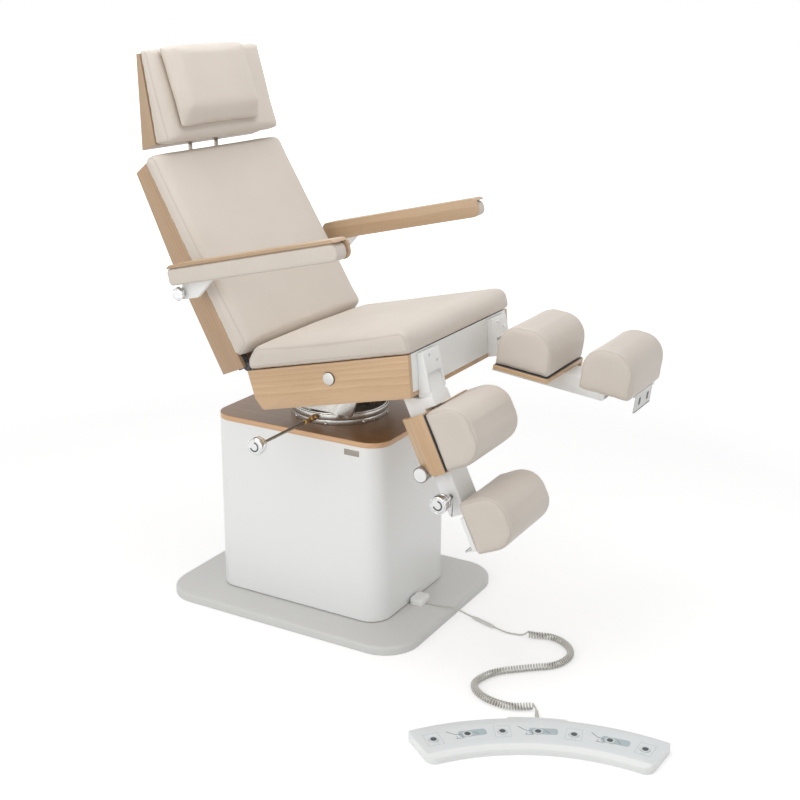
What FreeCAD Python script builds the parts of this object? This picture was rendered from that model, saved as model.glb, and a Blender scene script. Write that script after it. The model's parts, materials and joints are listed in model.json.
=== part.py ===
import FreeCAD, Part
import math
import os
import Sketcher

# Podiatry chair: a lifting pedestal with a turntable, a tilting seat, a reclining back, two
# flip-up arms, two swinging leg rests that lengthen, and a foot control on a curly lead.
# Origin: centre of the base plate's underside. Z is up, the sitter faces -Y, and the
# sitter's right hand is at -X. All lengths are millimetres.

lengths = {
    # base plate on the floor
    "plate_width": 620.0,
    "plate_length": 800.0,
    "plate_corner": 104.0,
    "plate_thickness": 25.0,
    "plate_bevel": 6.0,
    # pedestal: an outer shell that rises over a fixed inner one, with a wooden top
    "pedestal_width": 405.0,
    "pedestal_length": 552.0,
    "pedestal_corner": 61.0,
    "pedestal_height": 552.0,
    "pedestal_top_thickness": 15.0,
    "pedestal_top_rounding": 2.0,
    "shell_wall": 2.0,
    "shell_roof": 5.0,
    "shell_spacing": 5.0,
    "shell_foot_gap": 3.0,
    "lower_shell_gap": 52.0,
    "column_width": 150.0,
    "column_wall": 5.0,
    "column_top_gap": 77.0,
    "column_foot_gap": 40.0,
    "slide_gap": 0.3,
    # turntable and the yoke that carries the seat
    "turntable_y": -25.0,
    "turntable_radius": 138.0,
    "turntable_base_height": 15.0,
    "turntable_plate_radius": 134.0,
    "turntable_plate_thickness": 19.0,
    "turntable_rim": 3.0,
    "spin_gap": 0.3,
    "spigot_radius": 40.0,
    "spigot_depth": 11.0,
    "running_fit": 0.05,
    "cheek_inner": 110.0,
    "cheek_thickness": 10.0,
    "cheek_foot_front": -135.0,
    "cheek_foot_rear": 0.0,
    "cheek_boss_radius": 26.0,
    # tilt axle through the seat
    "tilt_y": -173.0,
    "tilt_rise": 191.0,
    "axle_radius": 12.5,
    "axle_cap_radius": 16.5,
    "axle_cap_thickness": 5.0,
    # turntable lock: a rod to the sitter's right with a knob on its end
    "lock_y": -35.0,
    "lock_rise": 23.0,
    "lock_rod_radius": 4.5,
    "lock_boss_radius": 7.0,
    "lock_boss_length": 34.0,
    "lock_reach": 392.0,
    "lock_seat_depth": 6.0,
    "knob_radius": 24.0,
    "knob_length": 38.0,
    "knob_rim": 4.0,
    # seat box: wooden sides and bottom, a white front and a steel frame inside
    "seat_half_width": 287.0,
    "seat_side_thickness": 15.0,
    "seat_front": 246.0,
    "seat_front_lean": 16.0,
    "seat_rear": 255.5,
    "seat_rear_lean": 6.0,
    "seat_rear_cut": 18.0,
    "seat_rear_cut_height": 34.0,
    "seat_corner": 12.0,
    "seat_top": 40.0,
    "seat_depth_below": 69.0,
    "seat_bottom_thickness": 12.0,
    "seat_bottom_rear_gap": 4.0,
    "seat_opening_half_width": 140.0,
    "seat_opening_front": 60.0,
    "seat_opening_rear": 205.0,
    "front_panel_thickness": 3.0,
    "frame_plate": 10.0,
    "frame_front": 206.0,
    "frame_rear": 235.0,
    "frame_cross_depth": 8.0,
    "frame_cross_top": 30.0,
    # recline hinge between seat and back
    "recline_y": 270.0,
    "recline_z": 48.0,
    "recline_pin_radius": 8.0,
    "recline_lug_radius": 14.0,
    "recline_lug_gap": 12.0,
    "recline_lug_thickness": 12.0,
    "recline_lug_front": 34.0,
    "recline_lug_drop": 84.0,
    "recline_knuckle_radius": 12.0,
    # seat cushion
    "seat_cushion_overhang": 8.0,
    "seat_cushion_front": 259.0,
    "seat_cushion_height": 65.0,
    "seat_cushion_rear": 252.0,
    "seat_cushion_rear_top": 219.0,
    "seat_cushion_rear_height": 27.0,
    "seat_cushion_front_round": 30.0,
    "seat_cushion_rear_round": 14.0,
    "seat_cushion_rear_top_round": 25.0,
    "seat_cushion_edge_round": 8.0,
    # back: wooden shell, steel frame and cushion
    "back_side_inset": 7.0,
    "back_wall": 14.0,
    "back_depth": 75.0,
    "back_bottom_rise": 9.0,
    "back_knee_height": 340.0,
    "back_knee_depth": 69.0,
    "back_height": 602.0,
    "back_top_depth": 48.0,
    "back_top_drop": 8.0,
    "back_tube_depth": 30.0,
    "back_tube_width": 20.0,
    "back_cross_height": 12.0,
    "back_cross_low": 110.0,
    "back_cushion_overhang": 17.0,
    "back_cushion_low": 22.0,
    "back_cushion_low_front": 48.0,
    "back_cushion_top": 617.0,
    "back_cushion_thickness": 62.0,
    "back_cushion_top_thickness": 44.0,
    "back_cushion_round": 26.0,
    "back_cushion_edge_round": 8.0,
    # headrest on two bent posts
    "post_spacing": 59.0,
    "post_radius": 6.0,
    "post_depth": 18.0,
    "post_foot": 430.0,
    "post_bend": 625.0,
    "post_top_length": 76.0,
    "post_guide_radius": 11.0,
    "post_guide_low": 395.0,
    "head_y": -28.0,
    "head_z": 636.0,
    "head_half_width": 250.0,
    "head_wood_height": 238.0,
    "head_wood_depth": 48.0,
    "head_wood_top_depth": 11.0,
    "head_wood_drop": 10.0,
    "head_pad_half_width": 257.0,
    "head_pad_low": -2.0,
    "head_pad_height": 249.0,
    "head_pad_thickness": 64.0,
    "head_pad_top_thickness": 27.0,
    "head_pad_round": 14.0,
    "head_pad_top_round": 11.0,
    "head_pad_edge_round": 3.0,
    "pillow_half_width": 180.0,
    "pillow_shift": -38.0,
    "pillow_low": 30.0,
    "pillow_low_slope": 48.0,
    "pillow_top": 258.0,
    "pillow_top_slope": 12.0,
    "pillow_thickness": 44.0,
    "pillow_edge": 14.0,
    "pillow_round": 13.0,
    "pillow_edge_round": 2.0,
    "pillow_gap": 0.4,
    # arms
    "arm_pivot_y": 9.0,
    "arm_pivot_z": 243.0,
    "arm_pin_radius": 8.0,
    "arm_side_gap": 65.0,
    "arm_width": 56.0,
    "arm_front": 530.0,
    "arm_rear": 8.0,
    "arm_low": 24.0,
    "arm_high": 78.0,
    "arm_wood_thickness": 9.0,
    "arm_corner": 18.0,
    "arm_front_corner": 20.0,
    "arm_pad_back": 4.0,
    "ear_inset": 4.0,
    "ear_thickness": 14.0,
    "ear_front": 106.0,
    "ear_low_front": 46.0,
    "ear_low": 18.0,
    "ear_rear": 13.0,
    "arm_knob_length": 26.0,
    "arm_knob_radius": 19.5,
    "knob_gap": 0.4,
    # leg rests
    "leg_hinge_y": -236.0,
    "leg_hinge_z": -42.0,
    "leg_side_gap": 30.0,
    "leg_width": 85.0,
    "leg_depth": 50.0,
    "leg_wall": 3.0,
    "leg_face": 12.0,
    "leg_end": 350.0,
    "leg_start": 38.0,
    "leg_rear_start": 17.0,
    "leg_block_end": 66.0,
    "leg_block_height": 20.0,
    "leg_cavity_start": 60.0,
    "leg_end_round": 9.0,
    "knuckle_radius": 20.0,
    "hinge_pin_radius": 8.0,
    "bracket_front": 262.0,
    "bracket_top": 35.0,
    "bracket_wall": 6.0,
    "bracket_cover_low": -21.0,
    "bracket_clearance": 0.5,
    "pad_outer_reach": 82.5,
    "pad_width": 248.0,
    "calf_start": 72.0,
    "calf_end": 231.0,
    "calf_height": 119.0,
    "calf_round": 66.0,
    "heel_start": 312.0,
    "heel_end": 456.0,
    "heel_height": 120.0,
    "heel_round": 62.0,
    "heel_base": -4.0,
    "pad_seam_round": 5.0,
    "board_thickness": 12.0,
    "skirt_side": 39.0,
    "skirt_depth": 85.0,
    "skirt_turn": 30.0,
    "skirt_under": 20.0,
    "skirt_side_round": 40.0,
    "skirt_turn_round": 22.0,
    "skirt_end_cut": 41.0,
    "shoe_start": 170.0,
    "shoe_length": 80.0,
    "slider_width": 70.0,
    "slider_top": -16.0,
    "slider_thickness": 14.0,
    "heel_plate_width": 150.0,
    "heel_plate_start": 353.0,
    "flange_at": 444.0,
    "flange_thickness": 4.0,
    "flange_low": 56.0,
    "flange_width": 122.0,
    "slot_width": 6.0,
    "slot_height": 16.0,
    "slot_spacing": 62.0,
    "slot_drop": 22.0,
    "leg_knob_at": 298.0,
    "leg_knob_reach": 34.0,
    "leg_knob_radius": 24.0,
    "leg_knob_length": 38.0,
    "leg_knob_stem_radius": 6.0,
    # foot control: a curved bar on the floor
    "control_x": -983.0,
    "control_y": -1111.0,
    "control_outer": 645.0,
    "control_inner": 512.0,
    "control_base_height": 6.0,
    "control_height": 24.0,
    "control_bevel": 14.0,
    "control_bevel_height": 8.0,
    "control_wall": 3.0,
    "control_end_round": 24.0,
    "control_hump_depth": 12.0,
    "button_circle": 576.0,
    "button_radius": 12.0,
    "button_proud": 1.6,
    "button_depth": 13.0,
    "button_gap": 0.3,
    # cord outlet on the base plate, and the lead
    "outlet_x": -13.0,
    "outlet_width": 56.0,
    "outlet_gap": 2.0,
    "outlet_length": 42.0,
    "outlet_height": 19.0,
    "outlet_round": 12.0,
    "cord_diameter": 5.0,
    "cord_lift": 0.3,
    "sleeve_diameter": 11.0,
    "curl_wire": 4.6,
    "curl_diameter": 20.0,
    "relief_length": 37.0,
    "relief_wide": 12.0,
    "relief_narrow": 9.0,
    "relief_height": 8.0,
    # how far a cutting shape runs past what it cuts
    "overrun": 5.0,
}

angles = {
    "seat_tilt": 13.2,
    "back_angle": 16.6,
    "head_angle": 20.4,
    "post_bend_angle": 29.8,
    "arm_angle": 16.6,
    "leg_drop_right": 77.9,
    "leg_drop_left": 19.8,
    "control_turn": 25.4,
    "control_sweep": 58.6,
    "control_hump_sweep": 12.5,
    "button_step": 8.4,
}

counts = {
    "button_count": 7,
    "curl_count": 94,
}

# Cushion stations from the middle to one side: place across the half width, fullness of the
# thickness and how far the outline draws in, all as shares.
cushion_shares = (
    (0.0, 1.04, 0.0),
    (0.35, 1.03, 0.0),
    (0.65, 1.01, 0.0),
    (0.88, 0.98, 0.0),
    (0.965, 0.945, 0.004),
    (1.0, 0.87, 0.014),
)
upright_shares = (
    (0.0, 1.04, 0.0),
    (0.4, 1.03, 0.0),
    (0.7, 1.01, 0.0),
    (0.88, 0.985, 0.002),
    (0.945, 0.94, 0.006),
    (0.98, 0.8, 0.018),
    (1.0, 0.5, 0.04),
)
pillow_shares = (
    (0.0, 1.02, 0.0),
    (0.5, 1.01, 0.0),
    (0.81, 0.97, 0.0),
    (0.865, 0.9, 0.004),
    (0.975, 0.5, 0.02),
    (1.0, 0.34, 0.03),
)

# Routes of the cord, chosen by hand. The lead leaves the outlet, drops off the plate's edge,
# passes its sleeve and runs on to the curls. The last list is the centre line of the curls.
lead_route = (
    (-13.0, -320.0, 28.5),
    (-13.0, -343.0, 28.5),
    (-9.0, -371.0, 29.0),
    (-4.0, -398.0, 31.0),
    (7.0, -420.0, 18.0),
    (17.4, -437.0, 6.0),
    (12.0, -455.0, 6.0),
)
sleeve_route = (
    (12.0, -455.0, 6.0),
    (-12.0, -535.0, 6.0),
)
tail_route = (
    (-12.0, -535.0, 6.0),
    (-17.1, -552.0, 6.0),
    (-19.0, -574.0, 3.3),
    (-15.0, -597.0, 2.9),
    (-9.0, -622.0, 2.9),
)
curl_route = (
    (-9.0, -632.0),
    (-3.0, -660.0),
    (9.0, -688.0),
    (5.0, -724.0),
    (-18.0, -760.0),
    (-56.0, -783.0),
    (-100.0, -780.0),
    (-137.0, -762.0),
    (-168.0, -722.0),
    (-200.0, -686.0),
    (-234.0, -648.0),
    (-274.0, -630.0),
    (-317.0, -621.0),
    (-350.0, -643.0),
    (-370.0, -682.0),
    (-376.0, -722.0),
    (-371.0, -756.0),
    (-356.0, -782.0),
    (-341.0, -800.0),
)

V = FreeCAD.Vector
X_AXIS = V(1, 0, 0)
Y_AXIS = V(0, 1, 0)
Z_AXIS = V(0, 0, 1)
RIGHT = -1
LEFT = 1
SIDES = ((RIGHT, "right"), (LEFT, "left"))

doc = FreeCAD.newDocument("podiatry_chair")
sheet = doc.addObject("Spreadsheet::Sheet", "sizes")
parts = []


class Size:
    """A value together with the sheet formula that gives it."""

    def __init__(self, value, formula):
        self.value = float(value)
        self.formula = formula

    def joined(self, other, sign, value):
        right = other.formula if isinstance(other, Size) else repr(float(other))
        return Size(value, "(%s %s %s)" % (self.formula, sign, right))

    def __add__(self, other):
        return self.joined(other, "+", self.value + number(other))

    def __sub__(self, other):
        return self.joined(other, "-", self.value - number(other))

    def __mul__(self, other):
        return self.joined(other, "*", self.value * number(other))

    def __truediv__(self, other):
        return self.joined(other, "/", self.value / number(other))

    def __neg__(self):
        return self * -1


def number(thing):
    return thing.value if isinstance(thing, Size) else float(thing)


def same(first, second):
    """Whether two places fall together."""
    return abs(first - second) < touching


class Sizes:
    """Every named value, as a Size tied to its cell."""


d = Sizes()
row = 0
for table in (lengths, angles, counts):
    for name, amount in table.items():
        row += 1
        sheet.set("A%d" % row, name)
        sheet.set("B%d" % row, repr(amount))
        sheet.setAlias("B%d" % row, name)
        setattr(d, name, Size(amount, "sizes." + name))
zero = Size(0, "0")
doc.recompute()
touching = 0.01


# Helpers: each ties what it makes to the sheet.

def bind(thing, prop, size):
    thing.setExpression(prop, size.formula)


def turned(angle, axis=X_AXIS):
    return FreeCAD.Rotation(axis, number(angle))


def frame_at(parent, y, z, angle):
    """A frame carried by its parent frame: moved to (y, z) and turned about X."""
    return parent.multiply(FreeCAD.Placement(V(0, number(y), number(z)), turned(angle)))


def shifted(place, x):
    return place.multiply(FreeCAD.Placement(V(number(x), 0, 0), FreeCAD.Rotation()))


def keep(thing, label):
    thing.Label = label
    parts.append(thing)
    return thing


def new_body(label, place=None):
    body = doc.addObject("PartDesign::Body", label)
    if place is not None:
        body.Placement = place
    return keep(body, label)


def new_sketch(body, role, lift):
    sketch = body.newObject("Sketcher::SketchObject", body.Name + "_outline")
    plane = next(f for f in body.Origin.OriginFeatures if f.Role == role)
    sketch.AttachmentSupport = (plane, "")
    sketch.MapMode = "FlatFace"
    if lift is not None:
        sketch.AttachmentOffset = FreeCAD.Placement(V(0, 0, lift.value), FreeCAD.Rotation())
        bind(sketch, "AttachmentOffset.Base.z", lift)
    return sketch


def hold(sketch, kind, item, corner, size):
    """Ties one coordinate of a sketched point to the sheet."""
    index = sketch.addConstraint(Sketcher.Constraint(kind, -1, 1, item, corner, size.value))
    bind(sketch, "Constraints[%d]" % index, size)


def outline(body, role, corners, lift=None):
    """A closed straight-sided outline on one of the body's origin planes."""
    sketch = new_sketch(body, role, lift)
    count = len(corners)
    for i in range(count):
        here = corners[i]
        after = corners[(i + 1) % count]
        start = V(here[0].value, here[1].value, 0)
        end = V(after[0].value, after[1].value, 0)
        sketch.addGeometry(Part.LineSegment(start, end))
    for i in range(count):
        sketch.addConstraint(Sketcher.Constraint("Coincident", i, 2, (i + 1) % count, 1))
    for i, (across, up) in enumerate(corners):
        hold(sketch, "DistanceX", i, 1, across)
        hold(sketch, "DistanceY", i, 1, up)
    return sketch


def circle(body, role, across, up, radius, lift=None):
    sketch = new_sketch(body, role, lift)
    sketch.addGeometry(Part.Circle(V(across.value, up.value, 0), Z_AXIS, radius.value))
    index = sketch.addConstraint(Sketcher.Constraint("Radius", 0, radius.value))
    bind(sketch, "Constraints[%d]" % index, radius)
    hold(sketch, "DistanceX", 0, 3, across)
    hold(sketch, "DistanceY", 0, 3, up)
    return sketch


def pad(body, sketch, length, both=False):
    feature = body.newObject("PartDesign::Pad", body.Name + "_pad")
    feature.Profile = sketch
    feature.Length = length.value
    feature.Midplane = both
    bind(feature, "Length", length)
    doc.recompute()
    return feature


def pocket(body, sketch, length, both=False, forward=False):
    """Cuts a pocket and makes sure that it took something away."""
    before = body.Shape.Volume
    feature = body.newObject("PartDesign::Pocket", body.Name + "_pocket")
    feature.Profile = sketch
    feature.Length = length.value
    feature.Midplane = both
    feature.Reversed = forward
    bind(feature, "Length", length)
    doc.recompute()
    if not body.Shape.Volume < before:
        raise RuntimeError("the pocket in " + body.Label + " cut nothing")
    return feature


def edge_names(shape, test):
    return ["Edge%d" % (i + 1) for i, edge in enumerate(shape.Edges) if test(edge)]


def along(axis):
    """A test for straight edges along an axis."""
    def test(edge):
        if edge.Curve.TypeId != "Part::GeomLine":
            return False
        return abs(edge.Curve.Direction.dot(axis)) > 0.9999
    return test


def middle(edge):
    return edge.CenterOfMass


def soften(body, test, radius, kind="Fillet"):
    """Rounds or chamfers the chosen edges of the body as it stands."""
    tip = body.Tip
    names = edge_names(tip.Shape, test)
    if not names:
        raise RuntimeError("no edges to soften in " + body.Label)
    feature = body.newObject("PartDesign::" + kind, body.Name + "_" + kind.lower())
    feature.Base = (tip, names)
    prop = "Radius" if kind == "Fillet" else "Size"
    setattr(feature, prop, radius.value)
    bind(feature, prop, radius)
    doc.recompute()
    return feature


def box(name, x0, x1, y0, y1, z0, z1):
    """A block between two corners, each coordinate a Size."""
    block = doc.addObject("Part::Box", name)
    spans = (("x", "Length", x0, x1), ("y", "Width", y0, y1), ("z", "Height", z0, z1))
    for axis, prop, first, last in spans:
        low, high = (first, last) if first.value < last.value else (last, first)
        setattr(block, prop, high.value - low.value)
        bind(block, prop, high - low)
        bind(block, "Placement.Base." + axis, low)
    return block


def rod(name, axis, start, end, first, second, radius):
    """A cylinder along X, Y or Z from start to end; first and second place its centre line."""
    low, high = (start, end) if start.value < end.value else (end, start)
    cylinder = doc.addObject("Part::Cylinder", name)
    cylinder.Radius = radius.value
    cylinder.Height = high.value - low.value
    bind(cylinder, "Radius", radius)
    bind(cylinder, "Height", high - low)
    turns = {"x": (Y_AXIS, 90), "y": (X_AXIS, -90), "z": (Z_AXIS, 0)}
    cylinder.Placement = FreeCAD.Placement(V(), FreeCAD.Rotation(*turns[axis]))
    places = {"x": (low, first, second), "y": (first, low, second), "z": (first, second, low)}
    for letter, size in zip("xyz", places[axis]):
        bind(cylinder, "Placement.Base." + letter, size)
    return cylinder


def prism(name, corners, x0, x1):
    """A plate standing across X with a side outline of (y, z) corners."""
    body = doc.addObject("PartDesign::Body", name)
    low, high = (x0, x1) if x0.value < x1.value else (x1, x0)
    pad(body, outline(body, "YZ_Plane", corners, low), high - low)
    return body


def fuse(label, pieces, place=None, kept=True):
    whole = doc.addObject("Part::MultiFuse", label)
    whole.Shapes = pieces
    if place is not None:
        whole.Placement = place
    doc.recompute()
    return keep(whole, label) if kept else whole


def cut(label, base, tool, place=None, kept=True):
    result = doc.addObject("Part::Cut", label)
    result.Base = base
    result.Tool = tool
    if place is not None:
        result.Placement = place
    doc.recompute()
    return keep(result, label) if kept else result


def free_shape(label, shape, place=None):
    feature = doc.addObject("Part::Feature", label)
    feature.Shape = shape
    if place is not None:
        feature.Placement = place
    return keep(feature, label)


# Widths and heights that follow the pedestal and the seat

tilt_z = d.pedestal_height + d.tilt_rise
side_inner = d.seat_half_width - d.seat_side_thickness
back_half_width = d.seat_half_width - d.back_side_inset
back_inner = back_half_width - d.back_wall
tube_inner = back_inner - d.back_tube_width
arm_inner = back_half_width + d.arm_side_gap
ear_inner = arm_inner + d.ear_inset
leg_spread = side_inner - d.leg_width / 2 - d.leg_side_gap


# Frames. The seat frame sits on the tilt axle; the back, arms, headrest and legs hang on it.

floor_frame = FreeCAD.Placement()
seat_frame = frame_at(floor_frame, d.tilt_y, tilt_z, -d.seat_tilt)
back_frame = frame_at(seat_frame, d.recline_y, d.recline_z, -d.back_angle)
head_frame = frame_at(back_frame, d.head_y, d.head_z, d.head_angle)
arm_frame = frame_at(back_frame, d.arm_pivot_y, d.arm_pivot_z, d.arm_angle)
leg_frames = {}
for side, side_name in SIDES:
    drop = d.leg_drop_right if side == RIGHT else d.leg_drop_left
    hinge = frame_at(seat_frame, d.leg_hinge_y, d.leg_hinge_z, drop)
    leg_frames[side] = shifted(hinge, leg_spread * side)


# Base plate and pedestal

def rounded_slab(label, half_x, half_y, corner, low, thickness):
    """A flat slab with round corners, from one height upwards."""
    body = new_body(label)
    corners = ((-half_x, -half_y), (half_x, -half_y), (half_x, half_y), (-half_x, half_y))
    pad(body, outline(body, "XY_Plane", corners, low), thickness)
    soften(body, along(Z_AXIS), corner)
    return body


def top_edges(height):
    def test(edge):
        box_of = edge.BoundBox
        return same(box_of.ZMin, height.value) and same(box_of.ZMax, height.value)
    return test


def hollow_shell(label, half_x, half_y, corner, wall, low, height, roof):
    """A pedestal shell: open below, and closed above where it has a roof."""
    outer = rounded_slab(label + "_outside", half_x, half_y, corner, low, height)
    inner_low = low - d.overrun
    inner_height = height + d.overrun - roof
    inner = rounded_slab(label + "_inside", half_x - wall, half_y - wall, corner - wall,
                         inner_low, inner_height)
    parts.remove(outer)
    parts.remove(inner)
    return cut(label, outer, inner)


base_plate = rounded_slab("base_plate", d.plate_width / 2, d.plate_length / 2, d.plate_corner,
                          zero, d.plate_thickness)
soften(base_plate, top_edges(d.plate_thickness), d.plate_bevel, "Chamfer")

shell_low = d.plate_thickness + d.shell_foot_gap
shell_top = d.pedestal_height - d.pedestal_top_thickness
hollow_shell("upper_shell", d.pedestal_width / 2, d.pedestal_length / 2, d.pedestal_corner,
             d.shell_wall, shell_low, shell_top - shell_low, d.shell_roof)
inside_height = shell_top - d.shell_roof - d.plate_thickness
lower_inset = d.shell_wall + d.shell_spacing
hollow_shell("lower_shell", d.pedestal_width / 2 - lower_inset,
             d.pedestal_length / 2 - lower_inset, d.pedestal_corner - lower_inset,
             d.shell_wall, d.plate_thickness, inside_height - d.lower_shell_gap, -d.overrun)

pedestal_top = rounded_slab("pedestal_top", d.pedestal_width / 2, d.pedestal_length / 2,
                            d.pedestal_corner, shell_top, d.pedestal_top_thickness)
soften(pedestal_top, top_edges(d.pedestal_height), d.pedestal_top_rounding)


def square_tube(label, half, wall, low, high):
    outside = box(label + "_outside", -half, half, -half, half, low, high)
    bore = half - wall
    inside = box(label + "_inside", -bore, bore, -bore, bore, low - d.overrun, high + d.overrun)
    return cut(label, outside, inside)


column_bore = d.column_width / 2 - d.column_wall
square_tube("column_outer", d.column_width / 2, d.column_wall, d.plate_thickness,
            d.plate_thickness + inside_height - d.column_top_gap)
square_tube("column_inner", column_bore - d.slide_gap, d.column_wall,
            d.plate_thickness + d.column_foot_gap, shell_top - d.shell_roof)


# Turntable: a fixed ring on the wooden top, and a turning plate with a yoke for the seat

ring_top = d.pedestal_height + d.turntable_base_height
plate_low = ring_top + d.spin_gap
plate_top = plate_low + d.turntable_plate_thickness
ring_body = rod("turntable_ring_body", "z", d.pedestal_height, ring_top, zero, d.turntable_y,
                d.turntable_radius)
ring_bore = rod("turntable_ring_bore", "z", ring_top - d.spigot_depth - d.spin_gap,
                ring_top + d.overrun, zero, d.turntable_y, d.spigot_radius + d.running_fit)
cut("turntable_base", ring_body, ring_bore)

spigot = rod("yoke_spigot", "z", ring_top - d.spigot_depth, plate_top, zero, d.turntable_y,
             d.spigot_radius)
disc = rod("yoke_disc", "z", plate_low, plate_top - d.turntable_rim, zero, d.turntable_y,
           d.turntable_radius)
disc_top = rod("yoke_disc_top", "z", plate_low, plate_top, zero, d.turntable_y,
               d.turntable_plate_radius)
yoke_pieces = [spigot, disc, disc_top]
cheek_outer = d.cheek_inner + d.cheek_thickness
cheek_corners = (
    (d.cheek_foot_front, plate_top - d.turntable_rim),
    (d.cheek_foot_rear, plate_top - d.turntable_rim),
    (d.tilt_y + d.cheek_boss_radius, tilt_z),
    (d.tilt_y - d.cheek_boss_radius, tilt_z),
)
for side, side_name in SIDES:
    cheek = prism("yoke_cheek_" + side_name, cheek_corners, d.cheek_inner * side,
                  cheek_outer * side)
    boss = rod("yoke_boss_" + side_name, "x", d.cheek_inner * side, cheek_outer * side,
               d.tilt_y, tilt_z, d.cheek_boss_radius)
    yoke_pieces += [cheek, boss]
yoke_solid = fuse("yoke_solid", yoke_pieces, kept=False)
yoke_bore = rod("yoke_bore", "x", -cheek_outer - d.overrun, cheek_outer + d.overrun,
                d.tilt_y, tilt_z, d.axle_radius + d.running_fit)
lock_z = d.pedestal_height + d.lock_rise
lock_seat = rod("lock_seat", "x", -d.turntable_radius - d.overrun,
                d.lock_seat_depth - d.turntable_radius, d.lock_y, lock_z,
                d.lock_rod_radius + d.running_fit)
yoke_cutters = fuse("yoke_cutters", [yoke_bore, lock_seat], kept=False)
cut("seat_yoke", yoke_solid, yoke_cutters)


def knob(label, axis_start, axis_end, y, z, radius, rim, bore, place=None, outward=RIGHT):
    """A round clamping knob along X: a full body and a narrower neck, bored for its stem."""
    neck_end = axis_start + (axis_end - axis_start) * neck_share
    body_piece = rod(label + "_body", "x", neck_end, axis_end, y, z, radius)
    neck = rod(label + "_neck", "x", axis_start, neck_end, y, z, radius - rim)
    solid = fuse(label + "_solid", [body_piece, neck], kept=False)
    depth = axis_start + (axis_end - axis_start) * bore_share
    hole = rod(label + "_hole", "x", axis_start - d.overrun * outward, depth, y, z, bore)
    return cut(label, solid, hole, place)


neck_share = 0.42
bore_share = 0.6
rod_start = -d.turntable_radius + d.lock_seat_depth
knob_start = -d.lock_reach
knob_end = knob_start - d.knob_length
knob_depth = knob_start + (knob_end - knob_start) * bore_share
lock_bar = rod("lock_bar", "x", rod_start, knob_depth, d.lock_y, lock_z, d.lock_rod_radius)
boss_start = -d.turntable_radius - d.spin_gap
lock_boss = rod("lock_boss", "x", boss_start, boss_start - d.lock_boss_length, d.lock_y,
                lock_z, d.lock_boss_radius)
fuse("lock_rod", [lock_bar, lock_boss])
knob("lock_knob", knob_start, knob_end, d.lock_y, lock_z, d.knob_radius, d.knob_rim,
     d.lock_rod_radius)


# Seat box, in the seat frame: y runs to the rear, z stands square to the seat

seat_low = -d.seat_depth_below
side_corners = (
    (-d.seat_front, d.seat_top),
    (d.seat_front_lean - d.seat_front, seat_low),
    (d.seat_rear - d.seat_rear_lean - d.seat_rear_cut, seat_low),
    (d.seat_rear - d.seat_rear_lean, seat_low + d.seat_rear_cut_height),
    (d.seat_rear, d.seat_top),
)


def seat_rear_corner(edge):
    point = edge.Vertexes[0].Point
    low = point.z < d.seat_rear_cut_height.value - d.seat_depth_below.value + touching
    return along(X_AXIS)(edge) and low and point.y > 0


for side, side_name in SIDES:
    lift = side_inner if side == LEFT else -d.seat_half_width
    board = new_body("seat_side_" + side_name, seat_frame)
    pad(board, outline(board, "YZ_Plane", side_corners, lift), d.seat_side_thickness)
    soften(board, seat_rear_corner, d.seat_corner)
    hole = circle(board, "YZ_Plane", zero, zero, d.axle_radius)
    pocket(board, hole, d.seat_half_width * 4, both=True)

axle = rod("axle_shaft", "x", -d.seat_half_width, d.seat_half_width, zero, zero, d.axle_radius)
caps = [rod("axle_cap_" + side_name, "x", d.seat_half_width * side,
            (d.seat_half_width + d.axle_cap_thickness) * side, zero, zero, d.axle_cap_radius)
        for side, side_name in SIDES]
fuse("tilt_axle", [axle] + caps, seat_frame)

frame_low = seat_low + d.seat_bottom_thickness
frame_inner = side_inner - d.frame_plate
frame_pieces = []
for side, side_name in SIDES:
    rail = box("frame_rail_" + side_name, frame_inner * side, side_inner * side,
               -d.frame_front, d.frame_rear, frame_low, d.seat_top)
    lug_outer = tube_inner - d.recline_lug_gap
    lug_inner = lug_outer - d.recline_lug_thickness
    lug_corners = (
        (d.frame_rear - d.frame_cross_depth, frame_low),
        (d.recline_y - d.recline_lug_radius, d.recline_z - d.recline_lug_drop),
        (d.recline_y + d.recline_lug_radius, d.recline_z),
        (d.recline_y - d.recline_lug_radius, d.recline_z),
        (d.recline_y - d.recline_lug_radius, d.recline_z - d.recline_lug_front),
        (d.frame_rear - d.frame_cross_depth, frame_low + d.recline_lug_front),
    )
    lug = prism("recline_lug_" + side_name, lug_corners, lug_inner * side, lug_outer * side)
    eye = rod("recline_eye_" + side_name, "x", lug_inner * side, lug_outer * side,
              d.recline_y, d.recline_z, d.recline_lug_radius)
    frame_pieces += [rail, lug, eye]
for name, first, last in (("front", -d.frame_front, d.frame_cross_depth - d.frame_front),
                          ("rear", d.frame_rear - d.frame_cross_depth, d.frame_rear)):
    frame_pieces.append(box("frame_cross_" + name, -frame_inner, frame_inner, first, last,
                            frame_low, d.frame_cross_top))
frame_solid = fuse("seat_frame_solid", frame_pieces, kept=False)
axle_hole = rod("frame_axle_hole", "x", -d.seat_half_width, d.seat_half_width, zero, zero,
                d.axle_radius)
pin_hole = rod("frame_pin_hole", "x", -d.seat_half_width, d.seat_half_width, d.recline_y,
               d.recline_z, d.recline_pin_radius + d.running_fit)
frame_holes = fuse("seat_frame_holes", [axle_hole, pin_hole], kept=False)
cut("seat_frame", frame_solid, frame_holes, seat_frame)

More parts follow.
